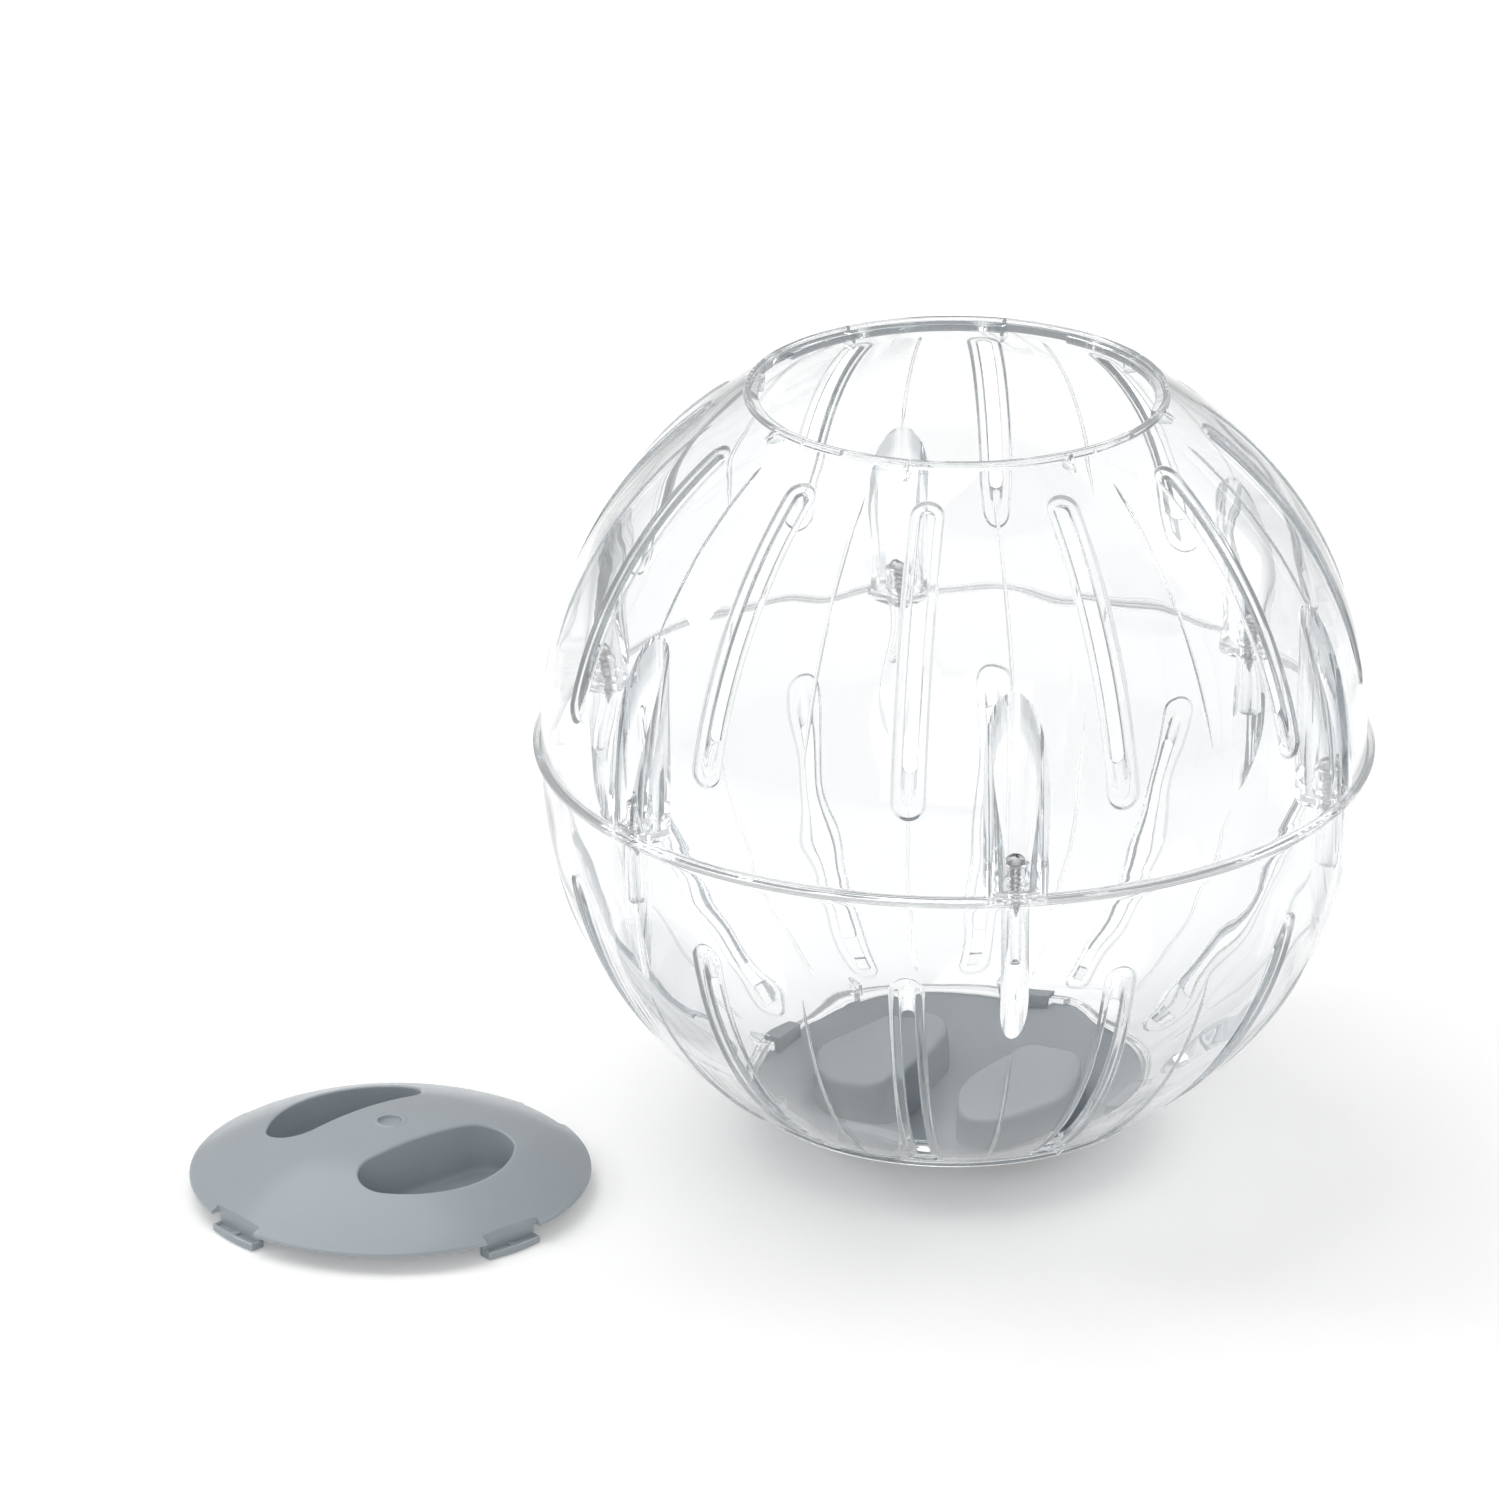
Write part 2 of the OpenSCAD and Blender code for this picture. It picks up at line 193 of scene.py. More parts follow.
class Solid:
    """A closed Blender mesh that other forms join or cut."""

    def __init__(self, name: str, form: Form) -> None:
        """Make the mesh with its faces outwards.

        Args:
            name: Name of the object.
            form: The closed form in millimetres.
        """
        mesh = bpy.data.meshes.new(name)
        mesh.from_pydata([tuple(p) for p in form.points * MM], [], form.faces)
        work = bmesh.new()
        work.from_mesh(mesh)
        bmesh.ops.recalc_face_normals(work, faces=work.faces)
        if work.calc_volume(signed=True) < 0:
            bmesh.ops.reverse_faces(work, faces=work.faces)
        work.to_mesh(mesh)
        work.free()
        self.obj = bpy.data.objects.new(name, mesh)
        bpy.context.collection.objects.link(self.obj)

    def work(self, tool: "Solid", cut: Cut) -> "Solid":
        """Join or cut this solid with another, which is used up.

        Args:
            tool: The other solid.
            cut: How it works on this one.

        Returns:
            This solid.
        """
        step = self.obj.modifiers.new(cut.value.lower(), "BOOLEAN")
        step.solver = "MANIFOLD"
        step.operation = cut.value
        step.object = tool.obj
        graph = bpy.context.evaluated_depsgraph_get()
        result = bpy.data.meshes.new_from_object(self.obj.evaluated_get(graph))
        self.obj.modifiers.remove(step)
        spare = [self.obj.data, tool.obj.data]
        self.obj.data = result
        bpy.data.objects.remove(tool.obj)
        for mesh in spare:
            bpy.data.meshes.remove(mesh)
        return self

    def join(self, name: str, form: Form) -> "Solid":
        """Join a form to this solid."""
        return self.work(Solid(name, form), Cut.JOIN)

    def remove(self, name: str, form: Form) -> "Solid":
        """Cut a form out of this solid."""
        return self.work(Solid(name, form), Cut.REMOVE)

    def dressed(self, finish: "Finish") -> bpy.types.Object:
        """Give this solid its finish.

        Args:
            finish: The finish.

        Returns:
            The finished object.
        """
        self.obj.data.materials.clear()
        self.obj.data.materials.append(finish.material())
        return self.obj


class Surfaces:
    """Reads and sets the points and normals of a mesh."""

    def __init__(self, mesh: bpy.types.Mesh) -> None:
        """Read the mesh's points and face corners.

        Args:
            mesh: The mesh.
        """
        self.mesh = mesh
        self.points = np.empty(len(mesh.vertices) * 3)
        mesh.vertices.foreach_get("co", self.points)
        self.points = self.points.reshape(-1, 3) / MM
        self.corner_point = np.empty(len(mesh.loops), dtype=np.int64)
        mesh.loops.foreach_get("vertex_index", self.corner_point)
        starts = np.empty(len(mesh.polygons), dtype=np.int64)
        mesh.polygons.foreach_get("loop_start", starts)
        totals = np.empty(len(mesh.polygons), dtype=np.int64)
        mesh.polygons.foreach_get("loop_total", totals)
        self.corner_face = np.repeat(np.arange(len(starts)), totals)
        self.starts = starts

    def normals(self) -> np.ndarray:
        """Read the mesh's normals.

        Returns:
            The normal at each face corner.
        """
        normals = np.empty(len(self.mesh.loops) * 3)
        self.mesh.corner_normals.foreach_get("vector", normals)
        return normals.reshape(-1, 3)

    def write_points(self) -> None:
        """Write the points back to the mesh."""
        self.mesh.vertices.foreach_set("co", (self.points * MM).ravel())
        self.mesh.update()

    def faces_within(self, mask: np.ndarray) -> np.ndarray:
        """Return which face corners belong to faces whose points are all marked."""
        return np.logical_and.reduceat(mask[self.corner_point], self.starts)[self.corner_face]

    def smooth(self, crease: float, known: Sequence[tuple[np.ndarray, np.ndarray]]) -> None:
        """Shade the mesh smooth, with creases and with true normals where they are known.

        Args:
            crease: Least angle in degrees at which an edge stays sharp.
            known: Pairs of marked points and the true normals of all points.
        """
        self.mesh.shade_smooth()
        self.mesh.set_sharp_from_angle(angle=math.radians(crease))
        normals = self.normals()
        for mask, true in known:
            corners = self.faces_within(mask)
            normals[corners] = true[self.corner_point[corners]]
        self.mesh.normals_split_custom_set(normals.tolist())


@dataclass(frozen=True)
class Ripple:
    """Slight unevenness of a moulded wall, as a sum of plane waves.

    Args:
        height: Usual height of the waves in millimetres.
        longest: Longest wave in millimetres.
        shortest: Shortest wave in millimetres.
        count: Number of waves.
        seed: Seed of the waves.
        fall: Power by which a shorter wave is lower.
    """

    height: float
    longest: float
    shortest: float
    count: int
    seed: int
    fall: float = 0.8

    def at(self, points: np.ndarray) -> tuple[np.ndarray, np.ndarray]:
        """Find the wave height and its slope.

        Args:
            points: Places in millimetres.

        Returns:
            The height at each place and its gradient.
        """
        rng = np.random.default_rng(self.seed)
        value = np.zeros(len(points))
        slope = np.zeros_like(points)
        for length in np.geomspace(self.longest, self.shortest, self.count):
            way = rng.normal(size=3)
            wave = way / np.linalg.norm(way) * 2 * math.pi / length
            size = self.height * math.sqrt(2 / self.count) * (length / self.longest) ** self.fall
            phase = points @ wave + rng.uniform(0, 2 * math.pi)
            value += size * np.sin(phase)
            slope += size * np.cos(phase)[:, None] * wave
        return value, slope


class NodeTree:
    """Adds and links the nodes of a material or of the world."""

    def __init__(self, owner: bpy.types.Material | bpy.types.World) -> None:
        """Open the owner's node tree.

        Args:
            owner: The material or the world.
        """
        owner.use_nodes = True
        self.nodes = owner.node_tree.nodes
        self.links = owner.node_tree.links

    def put(self, node: bpy.types.Node, values: dict[str | int, object]) -> bpy.types.Node:
        """Set or link a node's inputs.

        Args:
            node: The node.
            values: For each input's name or place, its value or the output that feeds it.

        Returns:
            The node.
        """
        for place, value in values.items():
            if isinstance(value, bpy.types.NodeSocket):
                self.links.new(value, node.inputs[place])
            else:
                node.inputs[place].default_value = value
        return node

    def add(self, kind: str, values: dict[str | int, object] | None = None,
            operation: str = "") -> bpy.types.Node:
        """Add a node.

        Args:
            kind: Type of the node, without its first word.
            values: Its inputs, as for put.
            operation: Its operation, where it has one.

        Returns:
            The node.
        """
        node = self.nodes.new(f"ShaderNode{kind}")
        if operation:
            node.operation = operation
        return self.put(node, values or {})

    def noise(self, scale: float, detail: float = 2) -> bpy.types.NodeSocket:
        """Add noise that is fixed to the object and return its value."""
        place = self.add("TexCoord").outputs["Object"]
        return self.add("TexNoise", {"Vector": place, "Scale": scale, "Detail": detail}).outputs["Fac"]

    def spread(self, value: bpy.types.NodeSocket, low: float, high: float,
               start: float = 0.0, end: float = 1.0) -> bpy.types.NodeSocket:
        """Spread a value that goes from start to end evenly between a low and a high result."""
        return self.add("MapRange", {"Value": value, "From Min": start, "From Max": end,
                                     "To Min": low, "To Max": high}).outputs["Result"]

    def bump(self, height: bpy.types.NodeSocket, depth: float, share: float = 0.12) -> bpy.types.NodeSocket:
        """Return normals bumped by a share of a height of this depth."""
        return self.add("Bump", {"Height": height, "Strength": share, "Distance": depth}).outputs["Normal"]

    def math(self, operation: str, *values: bpy.types.NodeSocket | float) -> bpy.types.NodeSocket:
        """Return the result of a sum."""
        return self.add("Math", dict(enumerate(values)), operation).outputs[0]

    def vector(self, operation: str, *values: object) -> bpy.types.NodeSocket:
        """Return the result of a sum of vectors, which is a number for a length or a dot product."""
        node = self.add("VectorMath", dict(enumerate(values)), operation)
        return node.outputs["Value" if operation in ("LENGTH", "DOT_PRODUCT") else "Vector"]

    def blend(self, share: bpy.types.NodeSocket, first: Colour, second: Colour) -> bpy.types.NodeSocket:
        """Blend two colours.

        Args:
            share: Share of the second colour.
            first: The first colour.
            second: The second colour.

        Returns:
            The blended colour.
        """
        node = self.nodes.new("ShaderNodeMix")
        node.data_type = "RGBA"
        return self.put(node, {0: share, 6: (*first, 1), 7: (*second, 1)}).outputs[2]


@dataclass(frozen=True)
class Finish:
    """A finish, whose material is made when it is first asked for."""

    name: str = "finish"

    def material(self) -> bpy.types.Material:
        """Make the material, or find it when it is made.

        Returns:
            The material.
        """
        made = bpy.data.materials.get(self.name)
        if made is None:
            made = bpy.data.materials.new(self.name)
            tree = NodeTree(made)
            self.mix(tree, tree.nodes["Principled BSDF"])
        return made

    def mix(self, tree: NodeTree, shader: bpy.types.Node) -> None:
        """Set the material's shader and add the nodes that feed it, in each finish's own way."""


@dataclass(frozen=True)
class ClearPlastic(Finish):
    """Clear moulded plastic of the half shells, with slightly uneven surfaces, painted shade at moulded edges
    and a painted glow.

    Args:
        edge_painted_shade: Painted shade, the colour of the faces that lean away from the round wall.
        edge_lean: Cosine of the lean at which a face has all of that colour.
        edge_round: Cosine of the lean at which it has none.
        seam_fade: Heights from the seam in metres between which that colour sets in.
        mouth_fade: Heights between which it ends.
        skin_fade: Distances from the ball's middle between which it sets in.
        painted_glow: Painted glow, as light that many passes through the plastic add.
    """

    name: str = "clear_wall_plastic"
    tint: Colour = (0.985, 0.99, 0.993)
    edge_painted_shade: Colour = (0.64, 0.665, 0.68)
    edge_lean: float = 0.8
    edge_round: float = 0.985
    middle: float = SEAM_HEIGHT * MM
    seam_fade: tuple[float, float] = (0.002, 0.004)
    mouth_fade: tuple[float, float] = (0.0775, 0.079)
    skin_fade: tuple[float, float] = (0.0875, 0.0885)
    ior: float = 1.5
    roughness: float = 0.012
    depth_colour: Colour = (0.72, 0.77, 0.8)
    depth_density: float = 18.0
    painted_glow: float = 0.1
    glow_start: int = 6
    glow_full: int = 12
    flow_scale: float = 55
    flow_depth: float = 0.00022

    def edges(self, tree: NodeTree) -> bpy.types.NodeSocket:
        """Find how far a face within the wall leans away from it, between the seam and the mouths.

        Args:
            tree: The material's nodes.

        Returns:
            The share of the painted edge shade.
        """
        spot = tree.add("TexCoord").outputs
        away = tree.vector("SUBTRACT", spot["Object"], (0, 0, self.middle))
        lean = tree.vector("DOT_PRODUCT", tree.vector("NORMALIZE", away), spot["Normal"])
        level = tree.math("ABSOLUTE", tree.add("SeparateXYZ", {0: away}).outputs["Z"])
        between = tree.math("MULTIPLY", tree.spread(level, 0, 1, *self.seam_fade),
                            tree.spread(level, 1, 0, *self.mouth_fade))
        skin = tree.spread(tree.vector("LENGTH", away), 0, 1, *self.skin_fade)
        edge = tree.spread(tree.math("ABSOLUTE", lean), 1, 0, self.edge_lean, self.edge_round)
        return tree.math("MULTIPLY", tree.math("MULTIPLY", between, skin), edge)

    def mix(self, tree: NodeTree, shader: bpy.types.Node) -> None:
        """Set clear plastic with painted shade at moulded edges, grey with depth, and a painted glow after
        many passes.

        Args:
            tree: The material's nodes.
            shader: Its shader.
        """
        # Painted glow: the plastic emits more light the more passes a path has made through it.
        passes = tree.add("LightPath").outputs["Ray Depth"]
        glow_by_passes = tree.spread(passes, 0, self.painted_glow, self.glow_start, self.glow_full)
        # Painted shade: the base colour greys on faces that lean away from the round wall.
        tree.put(shader, {
            "Base Color": tree.blend(self.edges(tree), self.tint, self.edge_painted_shade), "Transmission Weight": 1,
            "IOR": self.ior, "Roughness": self.roughness, "Emission Color": WHITE,
            "Emission Strength": glow_by_passes,
            "Normal": tree.bump(tree.noise(self.flow_scale), self.flow_depth)})
        depth = tree.add("VolumeAbsorption", {
            "Color": (*self.depth_colour, 1), "Density": self.depth_density})
        tree.put(tree.nodes["Material Output"], {"Volume": depth.outputs["Volume"]})


@dataclass(frozen=True)
class GreyPlastic(Finish):
    """Grey moulded plastic of the lids, satin with a faint flow pattern."""

    name: str = "grey_lid_plastic"
    colour: Colour = (0.365, 0.402, 0.43)
    flow_share: float = 0.05
    flow_scale: float = 38
    flow_detail: float = 4
    smoothest: float = 0.17
    roughest: float = 0.28
    mirror: float = 0.36
    scatter: float = 0.35
    scatter_radius: Colour = (0.9, 1, 1)
    scatter_reach: float = 0.0022
    ior: float = 1.5
    grain_scale: float = 900
    grain_depth: float = 0.00005

    def mix(self, tree: NodeTree, shader: bpy.types.Node) -> None:
        """Set grey plastic with slight flow marks in its colour, gloss and surface.

        Args:
            tree: The material's nodes.
            shader: Its shader.
        """
        flow = tree.noise(self.flow_scale, self.flow_detail)
        dark, light = (tuple(c * (1 + s * self.flow_share) for c in self.colour) for s in (-1, 1))
        tree.put(shader, {
            "Base Color": tree.blend(flow, dark, light),
            "Roughness": tree.spread(flow, self.smoothest, self.roughest), "IOR": self.ior,
            "Specular IOR Level": self.mirror, "Subsurface Weight": self.scatter,
            "Subsurface Radius": self.scatter_radius, "Subsurface Scale": self.scatter_reach,
            "Normal": tree.bump(tree.noise(self.grain_scale), self.grain_depth)})


@dataclass(frozen=True)
class ScrewSteel(Finish):
    """Bright steel of the seam screws, with a fine turned grain."""

    name: str = "screw_steel"
    colour: Colour = (0.82, 0.82, 0.83)
    grain_scale: float = 1500
    smoothest: float = 0.22
    roughest: float = 0.4

    def mix(self, tree: NodeTree, shader: bpy.types.Node) -> None:
        """Set bright metal of uneven gloss."""
        gloss = tree.spread(tree.noise(self.grain_scale), self.smoothest, self.roughest)
        tree.put(shader, {"Base Color": (*self.colour, 1), "Metallic": 1, "Roughness": gloss})


@dataclass(frozen=True)
class FloorPaint(Finish):
    """Pale matt paint of the floor. It glows a little where it is seen, and more so far off."""

    name: str = "floor_paint"
    colour: Colour = (0.9, 0.9, 0.9)
    roughness: float = 0.9
    mirror: float = 0.1
    glow: float = 0.22
    near_glow: float = 0.02
    far_glow: float = 0.5
    near: float = 0.2
    far: float = 1.2

    def mix(self, tree: NodeTree, shader: bpy.types.Node) -> None:
        """Set matt paint with a glow that neither lights nor shades the object.

        Args:
            tree: The material's nodes.
            shader: Its shader.
        """
        tree.put(shader, {"Base Color": (*self.colour, 1), "Roughness": self.roughness,
                          "Specular IOR Level": self.mirror})
        path = tree.add("LightPath").outputs
        distance = tree.vector("LENGTH", tree.add("TexCoord").outputs["Object"])
        rise = tree.spread(distance, self.near_glow, self.far_glow, self.near, self.far)
        much = tree.math("MULTIPLY_ADD", rise, path["Is Camera Ray"], self.glow)
        shine = tree.math("MAXIMUM", path["Is Camera Ray"], path["Is Glossy Ray"])
        seen = tree.math("MAXIMUM", shine, path["Is Transmission Ray"])
        none, glow = (tree.add("Emission", {"Strength": strength}).outputs[0] for strength in (0, much))
        pick = tree.add("MixShader", {0: seen, 1: none, 2: glow}).outputs[0]
        both = tree.add("AddShader", {0: shader.outputs[0], 1: pick}).outputs[0]
        tree.put(tree.nodes["Material Output"], {"Surface": both})


@dataclass
class Wall:
    """The ball's wall as both halves share it, in millimetres and degrees."""

    outer: float = 90.7
    thick: float = 2.0
    skirt: float = 3.0
    steps: int = 46
    columns: int = 360

    @property
    def inner(self) -> float:
        """Radius of the inner surface."""
        return self.outer - self.thick

    def dome(self, radius: float, rho: float) -> float:
        """Height above the seam of a sphere of this radius at a distance from the axis."""
        return self.skirt + math.sqrt(radius * radius - rho * rho)

    def place(self, lat: float | np.ndarray, across: np.ndarray, out: float | np.ndarray) -> Loop:
        """Return places by latitude in radians, distance beside the meridian and distance out."""
        return np.column_stack([out * np.cos(lat), across, self.skirt + out * np.sin(lat)])

    def meridian(self, radius: float, start: float, end: float) -> list[tuple[float, float]]:
        """Return points along a sphere's meridian between two latitudes."""
        return [(radius * math.cos(a), self.skirt + radius * math.sin(a))
                for a in np.radians(np.linspace(start, end, self.steps))]


def rounded(x: float, z: float, radius: float, start: float, end: float,
            count: int = 5) -> list[tuple[float, float]]:
    """Return points round a profile's corner from its centre, radius, and two angles in degrees."""
    angles = np.radians(np.linspace(start, end, count))
    return [(x + radius * math.cos(a), z + radius * math.sin(a)) for a in angles]


# Rows of distance past the groove's half width, and height over the wall
GROOVE_LIP = ((0.6, 2.0), (0.6, 0.03), (0.38, -0.02), (0.15, -0.14), (-0.02, -0.3), (-0.2, -0.47))
# Rows of share of the way from the groove's ends to the slot's, distance past the slot's half width,
# length of the pointed end, and height over the wall
SLOT_RAMP = ((0.0, 0.24, 4, -0.64), (0.1, 0.1, 5, -0.76), (0.25, 0.03, 5, -0.95), (0.42, 0, 4.5, -1.15),
             (0.6, 0, 4, -1.35), (0.8, 0.04, 3, -1.6), (0.93, 0.12, 1.5, -1.8), (1.0, 0.26, 0.8, -1.95),
             (1.0, 0.5, 0, -2.05), (1.0, 0.6, 0, -2.3), (1.0, 0.6, 0, -6.0))


@dataclass
class AirSlot:
    """An air slot: shallow groove, blind tail that slopes in, and the way through."""

    wall: Wall
    half_width: float = 1.5
    groove_half: float = 3.5
    groove_depth: float = 0.6
    tail: float = 11.0
    start: float = 16.0
    end: float = 52.5
    groove_end: float = 52.5
    square_end: bool = False
    side_points: int = 36
    cap_points: int = 12
    point_width: float = 0.25
    end_rate: float = 4
    slit_heights: tuple[float, ...] = (2.0, -0.9, -6.0)

    def loop(self, first: float, last: float, reach: float, height: float, square: bool = False,
             point: float = 0.0) -> Loop:
        """Return one loop round the slot.

        Args:
            first: Latitude where the core line starts.
            last: Latitude where it ends.
            reach: Distance of the loop from the core line.
            height: Height of the loop above the outer surface.
            square: Whether the end near the mouth is cut straight.
            point: Length over which the other end narrows to a point.

        Returns:
            The loop's points.
        """
        outer = self.wall.outer
        low, high = math.radians(first) * outer, math.radians(last) * outer
        side = np.linspace(low, high, self.side_points)
        cap = np.radians(np.linspace(-90, 90, self.cap_points + 2)[1:-1])
        if square:
            straight = np.full(len(cap), high + (self.half_width + reach) / 2)
            top = np.column_stack([straight, reach * cap * 2 / math.pi])
        else:
            top = np.column_stack([high + reach * np.cos(cap), reach * np.sin(cap)])
        bottom = np.column_stack([low - reach * np.cos(cap), -reach * np.sin(cap)])
        flat = np.concatenate([np.column_stack([side, np.full(len(side), -reach)]), top,
                               np.column_stack([side[::-1], np.full(len(side), reach)]), bottom])
        if point:
            share = np.clip((flat[:, 0] - flat[:, 0].min()) / point, 0, 1)
            flat[:, 1] *= self.point_width + (1 - self.point_width) * np.sin(share * math.pi / 2)
        lat, across = flat[:, 0] / outer, flat[:, 1]
        out = np.sqrt((outer + height) ** 2 - across ** 2)
        return self.wall.place(lat, across, out)

    def cutter(self) -> Form:
        """Lay loops down through the wall, from the groove's soft lip to the way through.

        Returns:
            The form that cuts the slot out of a wall.
        """
        half, wide, deep = self.half_width, self.groove_half, self.groove_depth
        end_cap = math.degrees(half / self.wall.outer)
        tail, groove_end = self.tail + end_cap, self.groove_end - end_cap
        start, end = self.start + end_cap, self.end - end_cap
        groove = [(wide + past, height) for past, height in GROOVE_LIP]
        groove += [(wide - 0.45, 0.02 - deep), (wide - 0.7, -deep), (half + 0.42, -deep)]
        loops = [self.loop(tail, groove_end, reach, height) for reach, height in groove]
        for share, past, point, height in SLOT_RAMP:
            stop = groove_end + (end - groove_end) * min(1.0, share * self.end_rate)
            loops.append(self.loop(tail + (start - tail) * share, stop, half + past, height,
                                   self.square_end and share > 0, point))
        return Form.stacked(loops, ladder=len(loops[0]) - self.cap_points // 2)

    def slit(self, first: float, last: float) -> Form:
        """Draw a short square slit beyond the slot's bar.

        Args:
            first: Latitude where it starts.
            last: Latitude where it ends.

        Returns:
            The form that cuts it.
        """
        half = self.half_width
        lat = np.radians([first, last, last, first])
        across = np.array([-half, -half, half, half])
        return Form.stacked([self.wall.place(lat, across, np.sqrt((self.wall.outer + h) ** 2 - across ** 2))
                             for h in self.slit_heights])


@dataclass
class Rib:
    """A thin raised rib along a meridian, pointed towards the seam."""

    wall: Wall
    start: float
    end: float
    half_width: float = 0.45
    proud: float = 0.5
    root: float = 0.5
    lift: float = 0.001
    point: float = 0.12
    seam_taper: float = 6
    mouth_taper: float = 20
    steps: int = 44
    arch_points: int = 9

    def form(self) -> Form:
        """Lay round-topped loops along the meridian towards +X.

        Returns:
            The rib.
        """
        loops, arch = [], np.radians(np.linspace(0, 180, self.arch_points))
        for i, lat in enumerate(np.radians(np.linspace(self.start, self.end, self.steps))):
            share = i / (self.steps - 1)
            size = min(1.0, self.point + share * self.seam_taper, self.point + (1 - share) * self.mouth_taper)
            half = self.half_width * size
            across = np.append(half * np.cos(arch), [-half, half])
            rise = np.append(self.proud * size * np.sin(arch) + self.lift, [-self.root, -self.root])
            loops.append(self.wall.place(lat, across, self.wall.outer + rise))
        return Form.stacked(loops)


@dataclass
class Mouth:
    """The mouth with its rim, lid seat, flange gaps and stop fins."""

    wall: Wall
    rim: float = 46.0
    rim_width: float = 1.2
    rim_proud: float = 1.2
    seat_depth: float = 1.1
    seat_width: float = 1.8
    flange: float = 1.6
    gap: float = 15.0
    gaps: int = 4
    fins: int = 8
    fin_turn: float = -112.0
    fin_thick: float = 0.9
    fin_reach: float = 2.4
    fin_drop: float = 2.2
    detent: float = 0.6
    detent_proud: float = 0.2
    detent_turn: float = LOCKED_TURN
    fillet: float = 0.35
    rim_round: float = 0.3
    seat_round: float = 0.2
    flange_round: float = 0.25
    gap_reach: float = 39.0
    overrun: float = 0.3
    cut_gap: float = 0.04
    fin_step: float = 1.2
    fin_soft: float = 0.3
    fin_sunk: float = 1.0
    fin_sides: tuple[tuple[float, float], ...] = ((-0.5, 0.12), (-0.38, 0), (0.38, 0), (0.5, 0.12))

    @property
    def top(self) -> float:
        """Height of the rim above the seam."""
        return self.wall.dome(self.wall.outer, self.rim) + self.rim_proud

    @property
    def seat(self) -> float:
        """Height of the lid's seat above the seam."""
        return self.top - self.seat_depth

    @property
    def inside(self) -> float:
        """Inner radius of the rim."""
        return self.rim - self.rim_width

    def profile(self) -> list[tuple[float, float]]:
        """Draw the mouth's profile from the outer wall round to the inner wall.

        Returns:
            Pairs of distance from the axis and height.
        """
        foot = self.wall.dome(self.wall.outer, self.rim + self.fillet)
        throat, low = self.inside - self.seat_width, self.seat - self.flange
        rim, seat, flange = self.rim_round, self.seat_round, self.flange_round
        return ([(self.rim + 0.12, foot + 0.2), (self.rim, foot + 0.45)]
                + rounded(self.rim - rim, self.top - rim, rim, 0, 90)
                + rounded(self.inside + rim, self.top - rim, rim, 90, 180)
                + rounded(self.inside - seat, self.seat + seat, seat, 0, -90, 4)
                + rounded(throat + flange, self.seat - flange, flange, 90, 180)
                + rounded(throat + flange, low + flange, flange, 180, 270)
                + [(self.inside + 0.05, low)])

    def gap_turn(self) -> float:
        """Work out where the gaps lie from the fins beside them.

        Returns:
            The azimuth of the first gap's middle.
        """
        throat = self.inside - self.seat_width
        reach = self.fin_thick / 2 / throat + math.asin(self.gap / 2 / throat)
        return self.fin_turn - math.degrees(reach)

    def gap_cutter(self) -> Form:
        """Draw a gap in the flange, towards +X.

        Returns:
            The form that cuts it.
        """
        half, low, high = self.gap / 2, self.seat - self.flange - self.overrun, self.seat + self.cut_gap / 2
        radius, reach = self.inside + self.cut_gap, self.gap_reach
        arc = np.arcsin(np.linspace(-half, half, 9) / radius)
        outer = np.column_stack([np.cos(arc), np.sin(arc)]) * radius
        flat = np.concatenate([outer, [(reach, half), (reach, -half)]])
        return Form.stacked([np.column_stack([flat, np.full(len(flat), z)]) for z in (low, high)])

    def detents(self) -> Form:
        """Make the small bumps that hold a turned lid in its place.

        Returns:
            All the bumps.
        """
        low, high = self.seat - self.flange + 0.1, self.seat - 0.1
        reach = self.inside - self.seat_width + self.detent - self.detent_proud
        bump = Form.column(reach, [(self.detent, low), (self.detent, high)])
        return bump.repeated(self.detent_turn, self.gaps)

    def fin(self) -> Form:
        """Draw one stop fin on the meridian towards +X, with softened sides.

        Returns:
            The fin.
        """
        tip, step = self.rim + self.fin_reach, self.rim + self.fin_step
        low, middle = self.seat - self.flange - self.fin_drop, self.seat - self.flange / 2
        inside, soft, sunk = self.inside - self.seat_width, self.fin_soft, self.fin_sunk
        shoulder, brow = (self.wall.dome(self.wall.outer, x) for x in (step, tip))
        outline = np.array([
            (inside, middle), (inside, low + soft), (inside + soft, low), (step, low),
            (step, shoulder - sunk), (tip, brow - sunk), (tip, brow + 0.05),
            (self.rim + 0.1, self.top - 0.35), (self.rim - 0.3, self.top - 0.2), (self.rim - 0.6, middle)])
        inwards = outline.mean(axis=0) - outline
        loops = []
        for across, shrink in self.fin_sides:
            ring = outline + inwards / np.linalg.norm(inwards, axis=1)[:, None] * shrink
            beside = np.full(len(ring), across * self.fin_thick)
            loops.append(np.column_stack([ring[:, 0], beside, ring[:, 1]]))
        return Form.stacked(loops)


@dataclass(frozen=True)
class Plan:
    """What differs between the halves: the runs of ribs and slots in degrees, and the seam's bead."""

    long_rib: float
    short_rib: float
    rib_end: float
    slot_end: float
    groove_end: float
    bead: float
    bead_round: float
    bead_height: float
    slit: tuple[float, float] | None = None


PLANS = {
    Half.UPPER: Plan(long_rib=26.5, short_rib=15.0, rib_end=54.0, slot_end=52.5, groove_end=52.5,
                     bead=92.5, bead_round=0.25, bead_height=0.8),
    Half.LOWER: Plan(long_rib=23.0, short_rib=15.0, rib_end=56.0, slot_end=49.5, groove_end=56.0,
                     bead=92.1, bead_round=0.2, bead_height=0.6, slit=(53.0, 55.5))}


